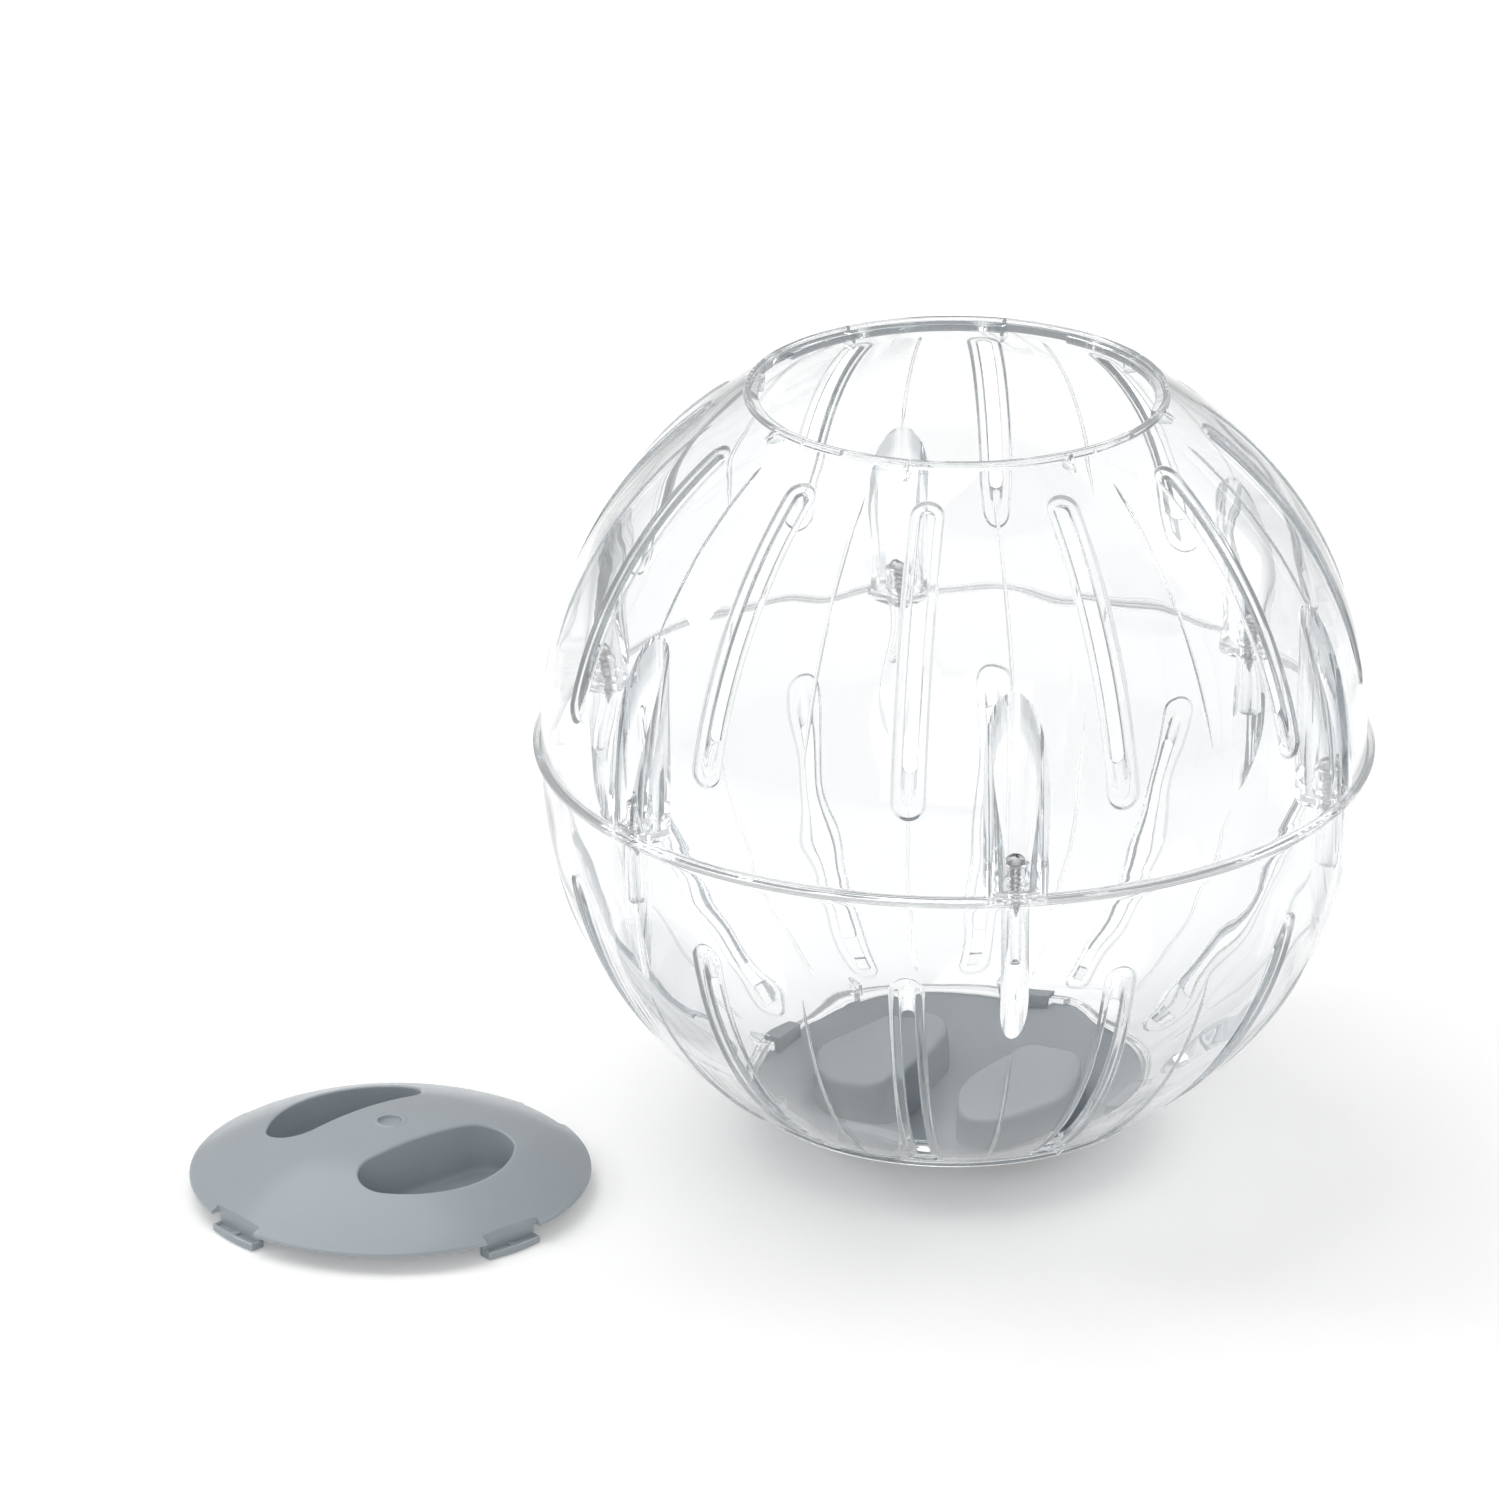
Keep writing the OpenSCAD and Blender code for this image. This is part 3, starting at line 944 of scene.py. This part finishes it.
@dataclass
class HalfShell:
    """One clear half shell of the ball.

    Args:
        half: Which half this is.
        wall: The wall that both halves share.
        finish: The clear plastic.
    """

    half: Half
    wall: Wall
    finish: ClearPlastic
    screws: int = 6
    screw_turn: float = -90.0
    between_turn: float = -60.0
    slots: int = 12
    slot_turn: float = -75.0
    screw_circle: float = 86.0
    post: float = 3.0
    pocket: float = 5.2
    pocket_wall: float = 1.8
    pocket_floor: float = 1.8
    boss: float = 3.15
    boss_height: float = 7.1
    pilot_depth: float = 15.5
    pilot: float = 1.35
    socket: float = 2.1
    hole: float = 1.5
    tall: float = 60.0
    spigot: float = 2.0
    bead_fillet: float = 0.3
    seam_gap: float = 0.02
    tongue: float = 1.0
    rebate: float = 1.1
    sunk: float = 0.9
    on_wall: float = 0.012
    wall_start: float = 1.9
    ripple_start: float = 4.0
    ripple_rise: float = 6.0
    ripple_end: float = 78.0
    ripple_fall: float = 5.0
    crease: float = 30.0
    ripple: Ripple = Ripple(height=0.09, longest=46, shortest=13, count=22, seed=7)

    @property
    def plan(self) -> Plan:
        """The sizes in which this half differs from the other."""
        return PLANS[self.half]

    @property
    def upper(self) -> bool:
        """Whether this is the upper half."""
        return self.half is Half.UPPER

    def profile(self, mouth: Mouth) -> np.ndarray:
        """Draw the wall's closed profile from the seam round the mouth and back.

        Args:
            mouth: The mouth.

        Returns:
            Rows of distance from the axis and height.
        """
        wall, plan, gap, fillet = self.wall, self.plan, self.seam_gap, self.bead_fillet
        out, inner, low = wall.outer, wall.inner, -self.tongue
        if self.upper:
            points = [(inner + self.rebate, gap)]
            end = [(inner, 2.0), (inner, self.rebate), (inner + self.rebate, self.rebate)]
        else:
            points = [(inner, low), (inner + 0.85, low), (inner + 1.0, low + 0.15), (inner + 1.0, gap)]
            end = [(inner, 1.5)]
        edge, high, turn = plan.bead - plan.bead_round, plan.bead_height, plan.bead_round
        points += rounded(edge, turn + gap, turn, -90, 0) + rounded(edge, high - turn, turn, 0, 90)
        points += rounded(out + fillet, high + fillet, fillet, -90, -180) + [(out, 2.0)]
        points += wall.meridian(out, 0, math.degrees(math.acos((mouth.rim + mouth.fillet) / out)))
        points += mouth.profile()
        points += wall.meridian(inner, math.degrees(math.acos((mouth.inside + 0.1) / inner)), 0)
        return np.array(points + end)

    def core(self, radius: float) -> Solid:
        """Return a closed dome of the radius that trims what stands inside the wall."""
        return Solid("core", Form.column(0, [(radius, -3.0)] + self.wall.meridian(radius, 0, 88), 240))

    def columns(self, outline: Iterable[tuple[float, float]]) -> Form:
        """Return round columns on all the screws' places."""
        return Form.column(self.screw_circle, outline).repeated(self.screw_turn, self.screws)

    def pockets(self, shell: Solid) -> None:
        """Add the screws' pockets and bosses.

        Args:
            shell: The upper shell.
        """
        wide, floor = self.pocket + self.pocket_wall, self.pocket_floor
        body = Solid("pocket_wall", self.columns([(wide, 0.3), (wide, self.tall)]))
        shell.work(body.work(self.core(self.wall.outer - self.sunk), Cut.KEEP_COMMON), Cut.JOIN)
        hollow = Solid("pocket", self.columns([(self.pocket - 0.4, floor), (self.pocket - 0.1, floor + 0.12),
                                               (self.pocket, floor + 0.4), (self.pocket, self.tall)]))
        foot, top = self.boss + 0.3, self.boss_height
        hollow.remove("boss", self.columns([(foot, 0), (foot, floor + 0.02), (self.boss, floor + 0.3),
                                            (self.boss, top - 0.3), (self.boss - 0.1, top - 0.1),
                                            (self.boss - 0.3, top)]))
        shell.work(hollow, Cut.REMOVE)
        socket, hole = self.socket, self.hole
        shell.remove("screw_hole", self.columns([(socket, -1), (socket, 2.1), (hole, 2.12), (hole, 9)]))

    def posts(self, shell: Solid) -> None:
        """Add the screws' posts and spigots.

        Args:
            shell: The lower shell.
        """
        body = Solid("post", self.columns([(self.post, 0.05), (self.post, self.tall)]))
        shell.work(body.work(self.core(self.wall.outer - self.sunk), Cut.KEEP_COMMON), Cut.JOIN)
        shell.join("spigot", self.columns([
            (self.spigot - 0.2, -2.0), (self.spigot, -1.8), (self.spigot, 0.6)]))
        deep, pilot = self.pilot_depth, self.pilot
        shell.remove("pilot_hole", self.columns([(pilot, -3), (pilot, deep - 0.5), (0.8, deep)]))

    def build(self) -> bpy.types.Object:
        """Make the shell's mesh, place it and dress it.

        Returns:
            The finished piece.
        """
        wall, mouth = self.wall, Mouth(self.wall)
        turned = Form.turned_profile(self.profile(mouth), wall.columns)
        shell = Solid(f"{self.half.value}_shell_clear", turned)
        if self.upper:
            self.pockets(shell)
        else:
            self.posts(shell)
        plan = self.plan
        over_screw = Rib(wall, plan.long_rib, plan.rib_end).form()
        between = Rib(wall, plan.short_rib, plan.rib_end).form()
        shell.join("ribs", Form.merged([over_screw.repeated(self.screw_turn, self.screws),
                                        between.repeated(self.between_turn, self.screws)]))
        shell.join("fins", mouth.fin().repeated(mouth.fin_turn, mouth.fins))
        shell.join("detents", mouth.detents())
        shell.remove("gaps", mouth.gap_cutter().repeated(mouth.gap_turn(), mouth.gaps))
        slot = AirSlot(wall, end=plan.slot_end, groove_end=plan.groove_end, square_end=bool(plan.slit))
        shell.remove("slots", slot.cutter().repeated(self.slot_turn, self.slots))
        if plan.slit:
            shell.remove("slits", slot.slit(*plan.slit).repeated(self.slot_turn, self.slots))
        self.finish_surfaces(shell.obj.data)
        self.place(shell.obj)
        return shell.dressed(self.finish)

    def finish_surfaces(self, mesh: bpy.types.Mesh) -> None:
        """Ripple the inner wall slightly and give both walls their true normals.

        Args:
            mesh: The shell's mesh.
        """
        wall, surfaces = self.wall, Surfaces(mesh)
        away = surfaces.points - (0, 0, wall.skirt)
        away[away[:, 2] <= -0.01, 2] = 0
        far = np.linalg.norm(away, axis=1)
        away /= far[:, None]
        level = surfaces.points[:, 2].copy()
        outer, inner = ((level > self.wall_start) & (abs(far - radius) < self.on_wall)
                        for radius in (wall.outer, wall.inner))
        for mask, radius in ((outer, wall.outer), (inner, wall.inner)):
            surfaces.points[mask] += away[mask] * (radius - far[mask])[:, None]
        height, slope = self.ripple.at(surfaces.points)
        level = surfaces.points[:, 2]
        fade = np.clip((level - self.ripple_start) / self.ripple_rise, 0, 1)
        fade *= np.clip((self.ripple_end - level) / self.ripple_fall, 0, 1)
        surfaces.points[inner] += away[inner] * (height * fade)[inner][:, None]
        surfaces.write_points()
        across = slope - (slope * away).sum(axis=1)[:, None] * away
        leaning = across * fade[:, None] - away
        leaning /= np.linalg.norm(leaning, axis=1)[:, None]
        surfaces.smooth(self.crease, [(outer, away), (inner, leaning)])

    def place(self, obj: bpy.types.Object) -> None:
        """Bring the mesh to its place in the ball, the lower half upside down.

        Args:
            obj: The shell.
        """
        surfaces = Surfaces(obj.data)
        normals = surfaces.normals()
        if not self.upper:
            surfaces.points *= (1, -1, -1)
            normals *= (1, -1, -1)
        surfaces.points[:, 2] += SEAM_HEIGHT
        surfaces.write_points()
        obj.data.normals_split_custom_set(normals.tolist())


# Rows of radius and height over the top of the dimple's rim
DIMPLE = ((3.5, -0.06), (3.3, 0), (2.85, 0), (2.7, -0.08), (2.62, -0.3), (2.5, -0.75), (2.2, -0.98),
          (1.5, -1.04), (0.4, -1.05))
# Rows of growth of a recess's outline and height over the dome
RECESS_RIM = ((0.65, 3.0), (0.65, 0.03), (0.48, -0.02), (0.32, -0.07), (0.18, -0.16), (0.08, -0.28),
              (0.02, -0.44), (0.0, -0.7))
# Rows of growth of the outline and height over the floor, within the recess and under it
RECESS_FLOOR = ((-0.12, 1.9), (-0.2, 1.2), (-0.4, 0.7), (-0.75, 0.33), (-1.2, 0.1), (-1.8, 0.0))
CUP_FLOOR = ((0, 1.4), (-0.1, 0.8), (-0.35, 0.35), (-0.8, 0.08), (-1.3, 0))


@dataclass
class Lid:
    """One grey twist-lock lid, drawn as it would sit on the upper mouth.

    Args:
        name: Name of the piece.
        wall: The ball's wall, whose dome the lid carries on.
        finish: The grey plastic.
    """

    name: str
    wall: Wall
    finish: GreyPlastic
    thick: float = 1.6
    edge: float = 44.3
    edge_height: float = 81.37
    edge_roll: float = 0.6
    near: float = 10.0
    far: float = 29.0
    round_side: float = 24.5
    corner: float = 6.5
    recess_floor: float = 80.38
    recess_wall: float = 1.5
    foot_width: float = 14.0
    foot_bottom: float = 77.72
    foot_top: float = 79.47
    leg_top: float = 82.1
    leg_face: float = 41.8
    leg_thick: float = 1.4
    softness: float = 0.25
    pad_half: float = 2.8
    pad_place: float = 3.4
    pad_depth: float = 0.5
    pad_edge: float = 0.12
    columns: int = 288
    dimple_proud: float = 0.15
    notch_gap: float = 0.5
    notch_edge: float = 0.2
    notch_reach: float = 50.0
    notch_span: tuple[float, float] = (78.0, 90.0)
    on_dome: float = 0.01
    crease: float = 38.0

    def dome(self, x: np.ndarray, y: np.ndarray) -> np.ndarray:
        """Return the height of the dome over a place."""
        return self.wall.skirt + np.sqrt(self.wall.outer ** 2 - x * x - y * y)

    def outline(self, grow: float) -> np.ndarray:
        """Return the recess's outline: straight near side, round far side and round corners.

        Args:
            grow: Distance by which the outline is grown.

        Returns:
            Rows of x and y.
        """
        middle = self.far - self.round_side
        cx = self.near + self.corner
        cy = math.sqrt((self.round_side - self.corner) ** 2 - (cx - middle) ** 2)
        tilt = math.degrees(math.atan2(cy, cx - middle))

        def bend(x: float, y: float, r: float, start: float, end: float, count: int) -> np.ndarray:
            """Return points round an arc, from its centre, radius and angles."""
            a = np.radians(np.linspace(start, end, count))
            return np.column_stack([x + r * np.cos(a), y + r * np.sin(a)])

        straight = np.column_stack([np.full(11, self.near - grow), np.linspace(cy, -cy, 13)[1:-1]])
        return np.concatenate([
            bend(cx, -cy, self.corner + grow, 180, 360 - tilt, 22),
            bend(middle, 0, self.round_side + grow, -tilt, tilt, 40)[1:-1],
            bend(cx, cy, self.corner + grow, tilt, 180, 22), straight])

    def following(self, grow: float, height: float) -> Loop:
        """Return an outline loop that follows the dome at a height above it."""
        flat = self.outline(grow)
        return np.column_stack([flat, self.dome(flat[:, 0], flat[:, 1]) + height])

    def level(self, grow: float, height: float) -> Loop:
        """Return a level outline loop."""
        flat = self.outline(grow)
        return np.column_stack([flat, np.full(len(flat), height)])

    def body(self) -> Form:
        """Draw the domed plate with its dimple, without recesses and feet.

        Returns:
            The plate.
        """
        wall, inner = self.wall, self.wall.outer - self.thick
        top = wall.skirt + wall.outer + self.dimple_proud
        rows = [(r, wall.dome(inner, r)) for r in np.linspace(0.4, 42.3, 34)]
        rows += [(42.6, self.edge_height), (self.edge - 0.25, self.edge_height)]
        rows += rounded(self.edge - 0.2, self.edge_height + 0.2, 0.2, -60, 0, 3)
        roll = self.edge - self.edge_roll
        middle = wall.dome(wall.outer - self.edge_roll, roll)
        lean = math.degrees(math.atan2(middle - wall.skirt, roll))
        rows += rounded(roll, middle, self.edge_roll, 0, lean, 9)
        rows += [(r, wall.dome(wall.outer, r)) for r in np.linspace(self.edge - 0.7, 4.1, 36)]
        rows += [(3.75, wall.dome(wall.outer, 3.75) + 0.02)]
        rows += [(radius, top + height) for radius, height in DIMPLE]
        return Form.column(0, rows, self.columns)

    def cup(self) -> Form:
        """Draw the solid round one recess, as it shows below the dome.

        Returns:
            The cup.
        """
        low, w = self.recess_floor - self.recess_wall, self.recess_wall
        loops = [self.following(w + 0.25, -0.8), self.following(w + 0.1, -1.9)]
        return Form.stacked(loops + [self.level(w + grow, low + height) for grow, height in CUP_FLOOR])

    def recess(self) -> Form:
        """Draw one finger recess, with a rolled rim and a rounded floor.

        Returns:
            The form that cuts it.
        """
        loops = [self.following(grow, height) for grow, height in RECESS_RIM]
        return Form.stacked(loops + [self.level(grow, self.recess_floor + height)
                                     for grow, height in RECESS_FLOOR])

    @staticmethod
    def block(x: tuple[float, float], half: float, z: tuple[float, float], edge: float = 0.25) -> Form:
        """Return a block across the X axis with softened edges.

        Args:
            x: Its two ends along X.
            half: Half its width along Y.
            z: Its foot and its top.
            edge: Width of the softened edges.

        Returns:
            The block.
        """
        e, f = edge, edge * 0.3

        def ring(inset: float, height: float) -> Loop:
            """Draw a level ring of the block.

            Args:
                inset: Distance by which it is drawn in.
                height: Its height.

            Returns:
                The ring.
            """
            x0, x1, y = x[0] + inset, x[1] - inset, half - inset
            flat = [(x0 + e, -y), (x1 - e, -y), (x1 - f, -y + f), (x1, -y + e), (x1, y - e), (x1 - f, y - f),
                    (x1 - e, y), (x0 + e, y), (x0 + f, y - f), (x0, y - e), (x0, -y + e), (x0 + f, -y + f)]
            return np.column_stack([flat, np.full(len(flat), height)])

        return Form.stacked([ring(e, z[0]), ring(f, z[0] + f), ring(0, z[0] + e),
                             ring(0, z[1] - e), ring(f, z[1] - f), ring(e, z[1])])

    def foot(self) -> Solid:
        """Make one leg with its foot, which has two sunk pads.

        Returns:
            The leg.
        """
        half, inside = self.foot_width / 2, self.leg_face - self.leg_thick
        leg = Solid("leg", self.block((inside, self.leg_face), half, (self.foot_bottom, self.leg_top)))
        plate = Solid("foot", self.block((inside, self.edge + 0.3), half, (self.foot_bottom, self.foot_top)))
        soft = self.edge - self.softness
        low, high = self.foot_bottom, self.foot_top
        trim = [(soft, low - 1), (soft, low), (self.edge, low + self.softness),
                (self.edge, high - self.softness), (soft, high), (soft, high + 1)]
        plate.work(Solid("trim", Form.column(0, trim, 120)), Cut.KEEP_COMMON)
        for side in (-1, 1):
            pad = self.block((self.leg_face + 0.05, self.edge - 0.8), self.pad_half,
                             (high - self.pad_depth, high + 1), self.pad_edge)
            pad.points[:, 1] += side * self.pad_place
            plate.remove("pad", pad)
        return leg.work(plate, Cut.JOIN)

    def build(self) -> bpy.types.Object:
        """Make the lid's mesh with softened edges.

        Returns:
            The finished piece, still on the upper mouth's place.
        """
        lid = Solid(self.name, self.body())
        lid.join("cups", self.cup().repeated(0, 2))
        lid.remove("recesses", self.recess().repeated(0, 2))
        notch = self.block((self.leg_face, self.notch_reach), self.foot_width / 2 + self.notch_gap,
                           self.notch_span, self.notch_edge)
        lid.remove("notches", notch.repeated(0, 4))
        for turn in range(0, 360, 90):
            foot = self.foot()
            foot.obj.data.transform(about_z(turn))
            lid.work(foot, Cut.JOIN)
        surfaces = Surfaces(lid.obj.data)
        away = surfaces.points - (0, 0, self.wall.skirt)
        far = np.linalg.norm(away, axis=1)
        away /= far[:, None]
        outer = (abs(far - self.wall.outer) < self.on_dome) & (surfaces.points[:, 2] > self.edge_height)
        inner = abs(far - self.wall.outer + self.thick) < self.on_dome
        surfaces.smooth(self.crease, [(outer, away), (inner, -away)])
        return lid.dressed(self.finish)

    def lay(self, obj: bpy.types.Object, x: float, y: float, turn: float) -> None:
        """Lay the lid on its feet on the floor, turned and then shifted."""
        obj.data.transform(about_z(turn))
        obj.data.transform(shifted(x, y, -self.foot_bottom))

    def hang(self, obj: bpy.types.Object, turn: float) -> None:
        """Set the lid upside down in the lower mouth, turned before that."""
        obj.data.transform(upside_down() @ about_z(turn))
        obj.data.transform(shifted(0, 0, SEAM_HEIGHT))


def about_z(degrees: float) -> Matrix:
    """Return a turn about Z."""
    return Matrix.Rotation(math.radians(degrees), 4, "Z")


def upside_down() -> Matrix:
    """Return a half turn about X."""
    return Matrix.Rotation(math.pi, 4, "X")


def shifted(x: float, y: float, z: float) -> Matrix:
    """Return a shift in millimetres."""
    return Matrix.Translation((x * MM, y * MM, z * MM))


# Rows of distance past the head's radius and height over its seat
PAN_HEAD = ((-0.3, 0), (-0.05, 0.06), (0, 0.25), (-0.03, 0.6), (-0.2, 1.0), (-0.55, 1.4), (-1.05, 1.66),
            (-1.7, 1.78), (-2.15, 1.8))


@dataclass
class JointScrew:
    """A pan head screw with a cross recess and a coarse thread."""

    finish: ScrewSteel
    circle: float = HalfShell.screw_circle
    seat: float = HalfShell.boss_height
    head: float = 2.2
    head_height: float = 1.8
    length: float = 12.0
    core: float = 0.95
    thread: float = 0.33
    pitch: float = 1.1
    ridge_share: float = 0.28
    tip: float = 2.6
    blunt: float = 0.12
    shank_top: float = 0.05
    thread_steps: int = 96
    cross_reach: float = 1.3
    cross_half: float = 0.33
    cross_depth: float = 1.0
    cross_edge: float = 0.08
    cross_turn: float = 20.0
    clearance: float = 0.02
    count: int = HalfShell.screws
    first_turn: float = HalfShell.screw_turn
    sides: int = 40
    crease: float = 40.0

    def form(self) -> Form:
        """Draw the screw as it stands on its boss, without its cross.

        Returns:
            The screw.
        """
        turn = np.arange(self.sides) * 2 * math.pi / self.sides
        rows = []
        for z in np.linspace(-self.length, self.shank_top, self.thread_steps):
            taper = min(1.0, (z + self.length) / self.tip + self.blunt)
            phase = (z / self.pitch - turn / (2 * math.pi)) % 1
            ridge = np.clip(1 - abs(phase - 0.5) / self.ridge_share, 0, 1) * self.thread
            rows.append(((self.core + ridge) * taper, z))
        rows += [(np.full(self.sides, self.head + past), z) for past, z in PAN_HEAD]
        return Form.column(0, rows, self.sides)

    def build(self, number: int) -> bpy.types.Object:
        """Make one screw in its place.

        Args:
            number: Number of the screw, from 1.

        Returns:
            The finished piece.
        """
        screw = Solid(f"screw_{number}", self.form())
        for turn in (0, 90):
            height = (self.head_height - self.cross_depth, self.head_height + 1)
            bar = Lid.block((-self.cross_reach, self.cross_reach), self.cross_half, height, self.cross_edge)
            screw.remove("cross", bar.turned(turn + self.cross_turn * number))
        height = SEAM_HEIGHT + self.seat + self.clearance
        mesh = screw.obj.data
        turn = 360 / self.count * (number - 1) + self.first_turn
        mesh.transform(about_z(turn) @ shifted(self.circle, 0, height))
        mesh.shade_smooth()
        mesh.set_sharp_from_angle(angle=math.radians(self.crease))
        return screw.dressed(self.finish)


@dataclass(frozen=True)
class Lamp:
    """A soft square lamp: its place in metres, side in metres and power in watts."""

    name: str
    at: tuple[float, float, float]
    side: float
    power: float
    mirrored: bool = True

    def hang(self, aim: tuple[float, float, float]) -> None:
        """Hang the lamp so that it faces a point.

        Args:
            aim: The point in metres.
        """
        data = bpy.data.lights.new(self.name, "AREA")
        data.size = self.side
        data.energy = self.power
        obj = bpy.data.objects.new(self.name, data)
        obj.location = self.at
        obj.rotation_euler = (Vector(aim) - Vector(self.at)).to_track_quat("-Z", "Y").to_euler()
        obj.visible_glossy = self.mirrored
        bpy.context.collection.objects.link(obj)


@dataclass
class Studio:
    """Camera, floor, world and lamps.

    Args:
        camera_at: Place of the camera in metres.
        aim: Point that the camera looks at.
        lens: Focal length in millimetres.
        sensor: Width of the picture behind the lens in millimetres.
        far_end: Distance in metres at which the camera stops seeing.
        lit_point: Point that the lamps face.
        ambient: Strength of the light from all round.
        bent_low: Strength of the world at the horizon, as gloss and clear plastic show it.
        bent_high: Its strength high up.
        bent_top: Height of the direction at which it is full.
        floor_half: Half the floor's side in metres.
        floor_height: Height of the floor, just under the object.
        lamps: The lamps.
        glossy_bounces: Number of times that light may bounce off gloss.
    """

    camera_at: tuple[float, float, float] = (-0.2901, -1.8604, 0.8729)
    aim: tuple[float, float, float] = (-0.0444, 0.0058, 0.0913)
    lens: float = 222.4
    sensor: float = 36
    far_end: float = 20
    lit_point: tuple[float, float, float] = (-0.03, 0, 0.05)
    ambient: float = 0.43
    bent_low: float = 0.46
    bent_high: float = 0.95
    bent_top: float = 0.75
    floor_half: float = 6.0
    floor_height: float = -0.0002
    lamps: tuple[Lamp, ...] = (
        Lamp("overhead", (-0.45, 0.38, 1.45), 1.35, 10.8), Lamp("left", (-1.5, 0.3, 0.9), 0.35, 3),
        Lamp("right", (1.3, 0.2, 0.9), 0.8, 4.5), Lamp("front", (-0.5, -1.9, 0.7), 1.2, 9.5, False))
    glossy_bounces: int = 12

    def camera(self) -> None:
        """Set the camera at the photograph's viewing angle."""
        data = bpy.data.cameras.new("camera")
        data.lens = self.lens
        data.sensor_width = self.sensor
        data.clip_end = self.far_end
        obj = bpy.data.objects.new("camera", data)
        obj.location = self.camera_at
        way = Vector(self.aim) - Vector(self.camera_at)
        obj.rotation_euler = way.to_track_quat("-Z", "Y").to_euler()
        bpy.context.collection.objects.link(obj)
        bpy.context.scene.camera = obj

    def floor(self) -> None:
        """Lay the pale floor."""
        mesh = bpy.data.meshes.new("floor")
        half, z = self.floor_half, self.floor_height
        corners = [(-half, -half, z), (half, -half, z), (half, half, z), (-half, half, z)]
        mesh.from_pydata(corners, [], [(0, 1, 2, 3)])
        obj = bpy.data.objects.new("floor", mesh)
        bpy.context.collection.objects.link(obj)
        mesh.materials.append(FloorPaint().material())

    def world(self) -> None:
        """Surround the scene with soft light, white where it is seen."""
        world = bpy.data.worlds.new("studio")
        bpy.context.scene.world = world
        tree = NodeTree(world)
        soft = tree.put(tree.nodes["Background"], {"Color": WHITE, "Strength": self.ambient})
        way = tree.add("SeparateXYZ", {0: tree.add("TexCoord").outputs["Generated"]})
        high = tree.spread(way.outputs["Z"], self.bent_low, self.bent_high, 0, self.bent_top)
        bent, back = (tree.add("Background", {"Color": WHITE, "Strength": strength}).outputs[0]
                      for strength in (high, 1))
        path = tree.add("LightPath").outputs
        shine = tree.math("MAXIMUM", path["Is Glossy Ray"], path["Is Transmission Ray"])
        lit = tree.add("MixShader", {0: shine, 1: soft.outputs[0], 2: bent}).outputs[0]
        both = tree.add("MixShader", {0: path["Is Camera Ray"], 1: lit, 2: back}).outputs[0]
        tree.put(tree.nodes["World Output"], {"Surface": both})

    def build(self) -> None:
        """Set up everything round the object."""
        self.camera()
        self.floor()
        self.world()
        for lamp in self.lamps:
            lamp.hang(self.lit_point)
        bpy.context.scene.view_settings.view_transform = "Standard"
        bpy.context.scene.cycles.glossy_bounces = self.glossy_bounces


def dress(obj: bpy.types.Object, body: str, nodes: Sequence[str]) -> None:
    """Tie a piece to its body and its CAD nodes.

    Args:
        obj: The piece.
        body: Name of the body that carries it.
        nodes: The CAD nodes that it stands for.
    """
    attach(obj, body)
    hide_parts(*nodes)
    log.info("%s: %d faces on %s", obj.name, len(obj.data.polygons), body)


def main() -> None:
    """Build every piece of the hamster ball in order."""
    logging.basicConfig(level=logging.INFO, format="%(name)s: %(message)s")
    Studio().build()
    wall = Wall()
    clear, grey, steel = ClearPlastic(), GreyPlastic(), ScrewSteel()
    for half in Half:
        shell = HalfShell(half, wall, clear)
        dress(shell.build(), "ball", [f"{half.value}_shell"])
    top = Lid("top_lid_grey", wall, grey)
    piece = top.build()
    top.lay(piece, *LOOSE_PLACE)
    dress(piece, "loose_lid", ["top_lid"])
    bottom = Lid("bottom_lid_grey", wall, grey)
    piece = bottom.build()
    bottom.hang(piece, LOCKED_TURN)
    dress(piece, "locked_lid", ["bottom_lid"])
    screw = JointScrew(steel)
    for number in range(1, screw.count + 1):
        dress(screw.build(number), "ball", [f"joint_screw_{number}"])


if __name__ == "__main__":
    main()
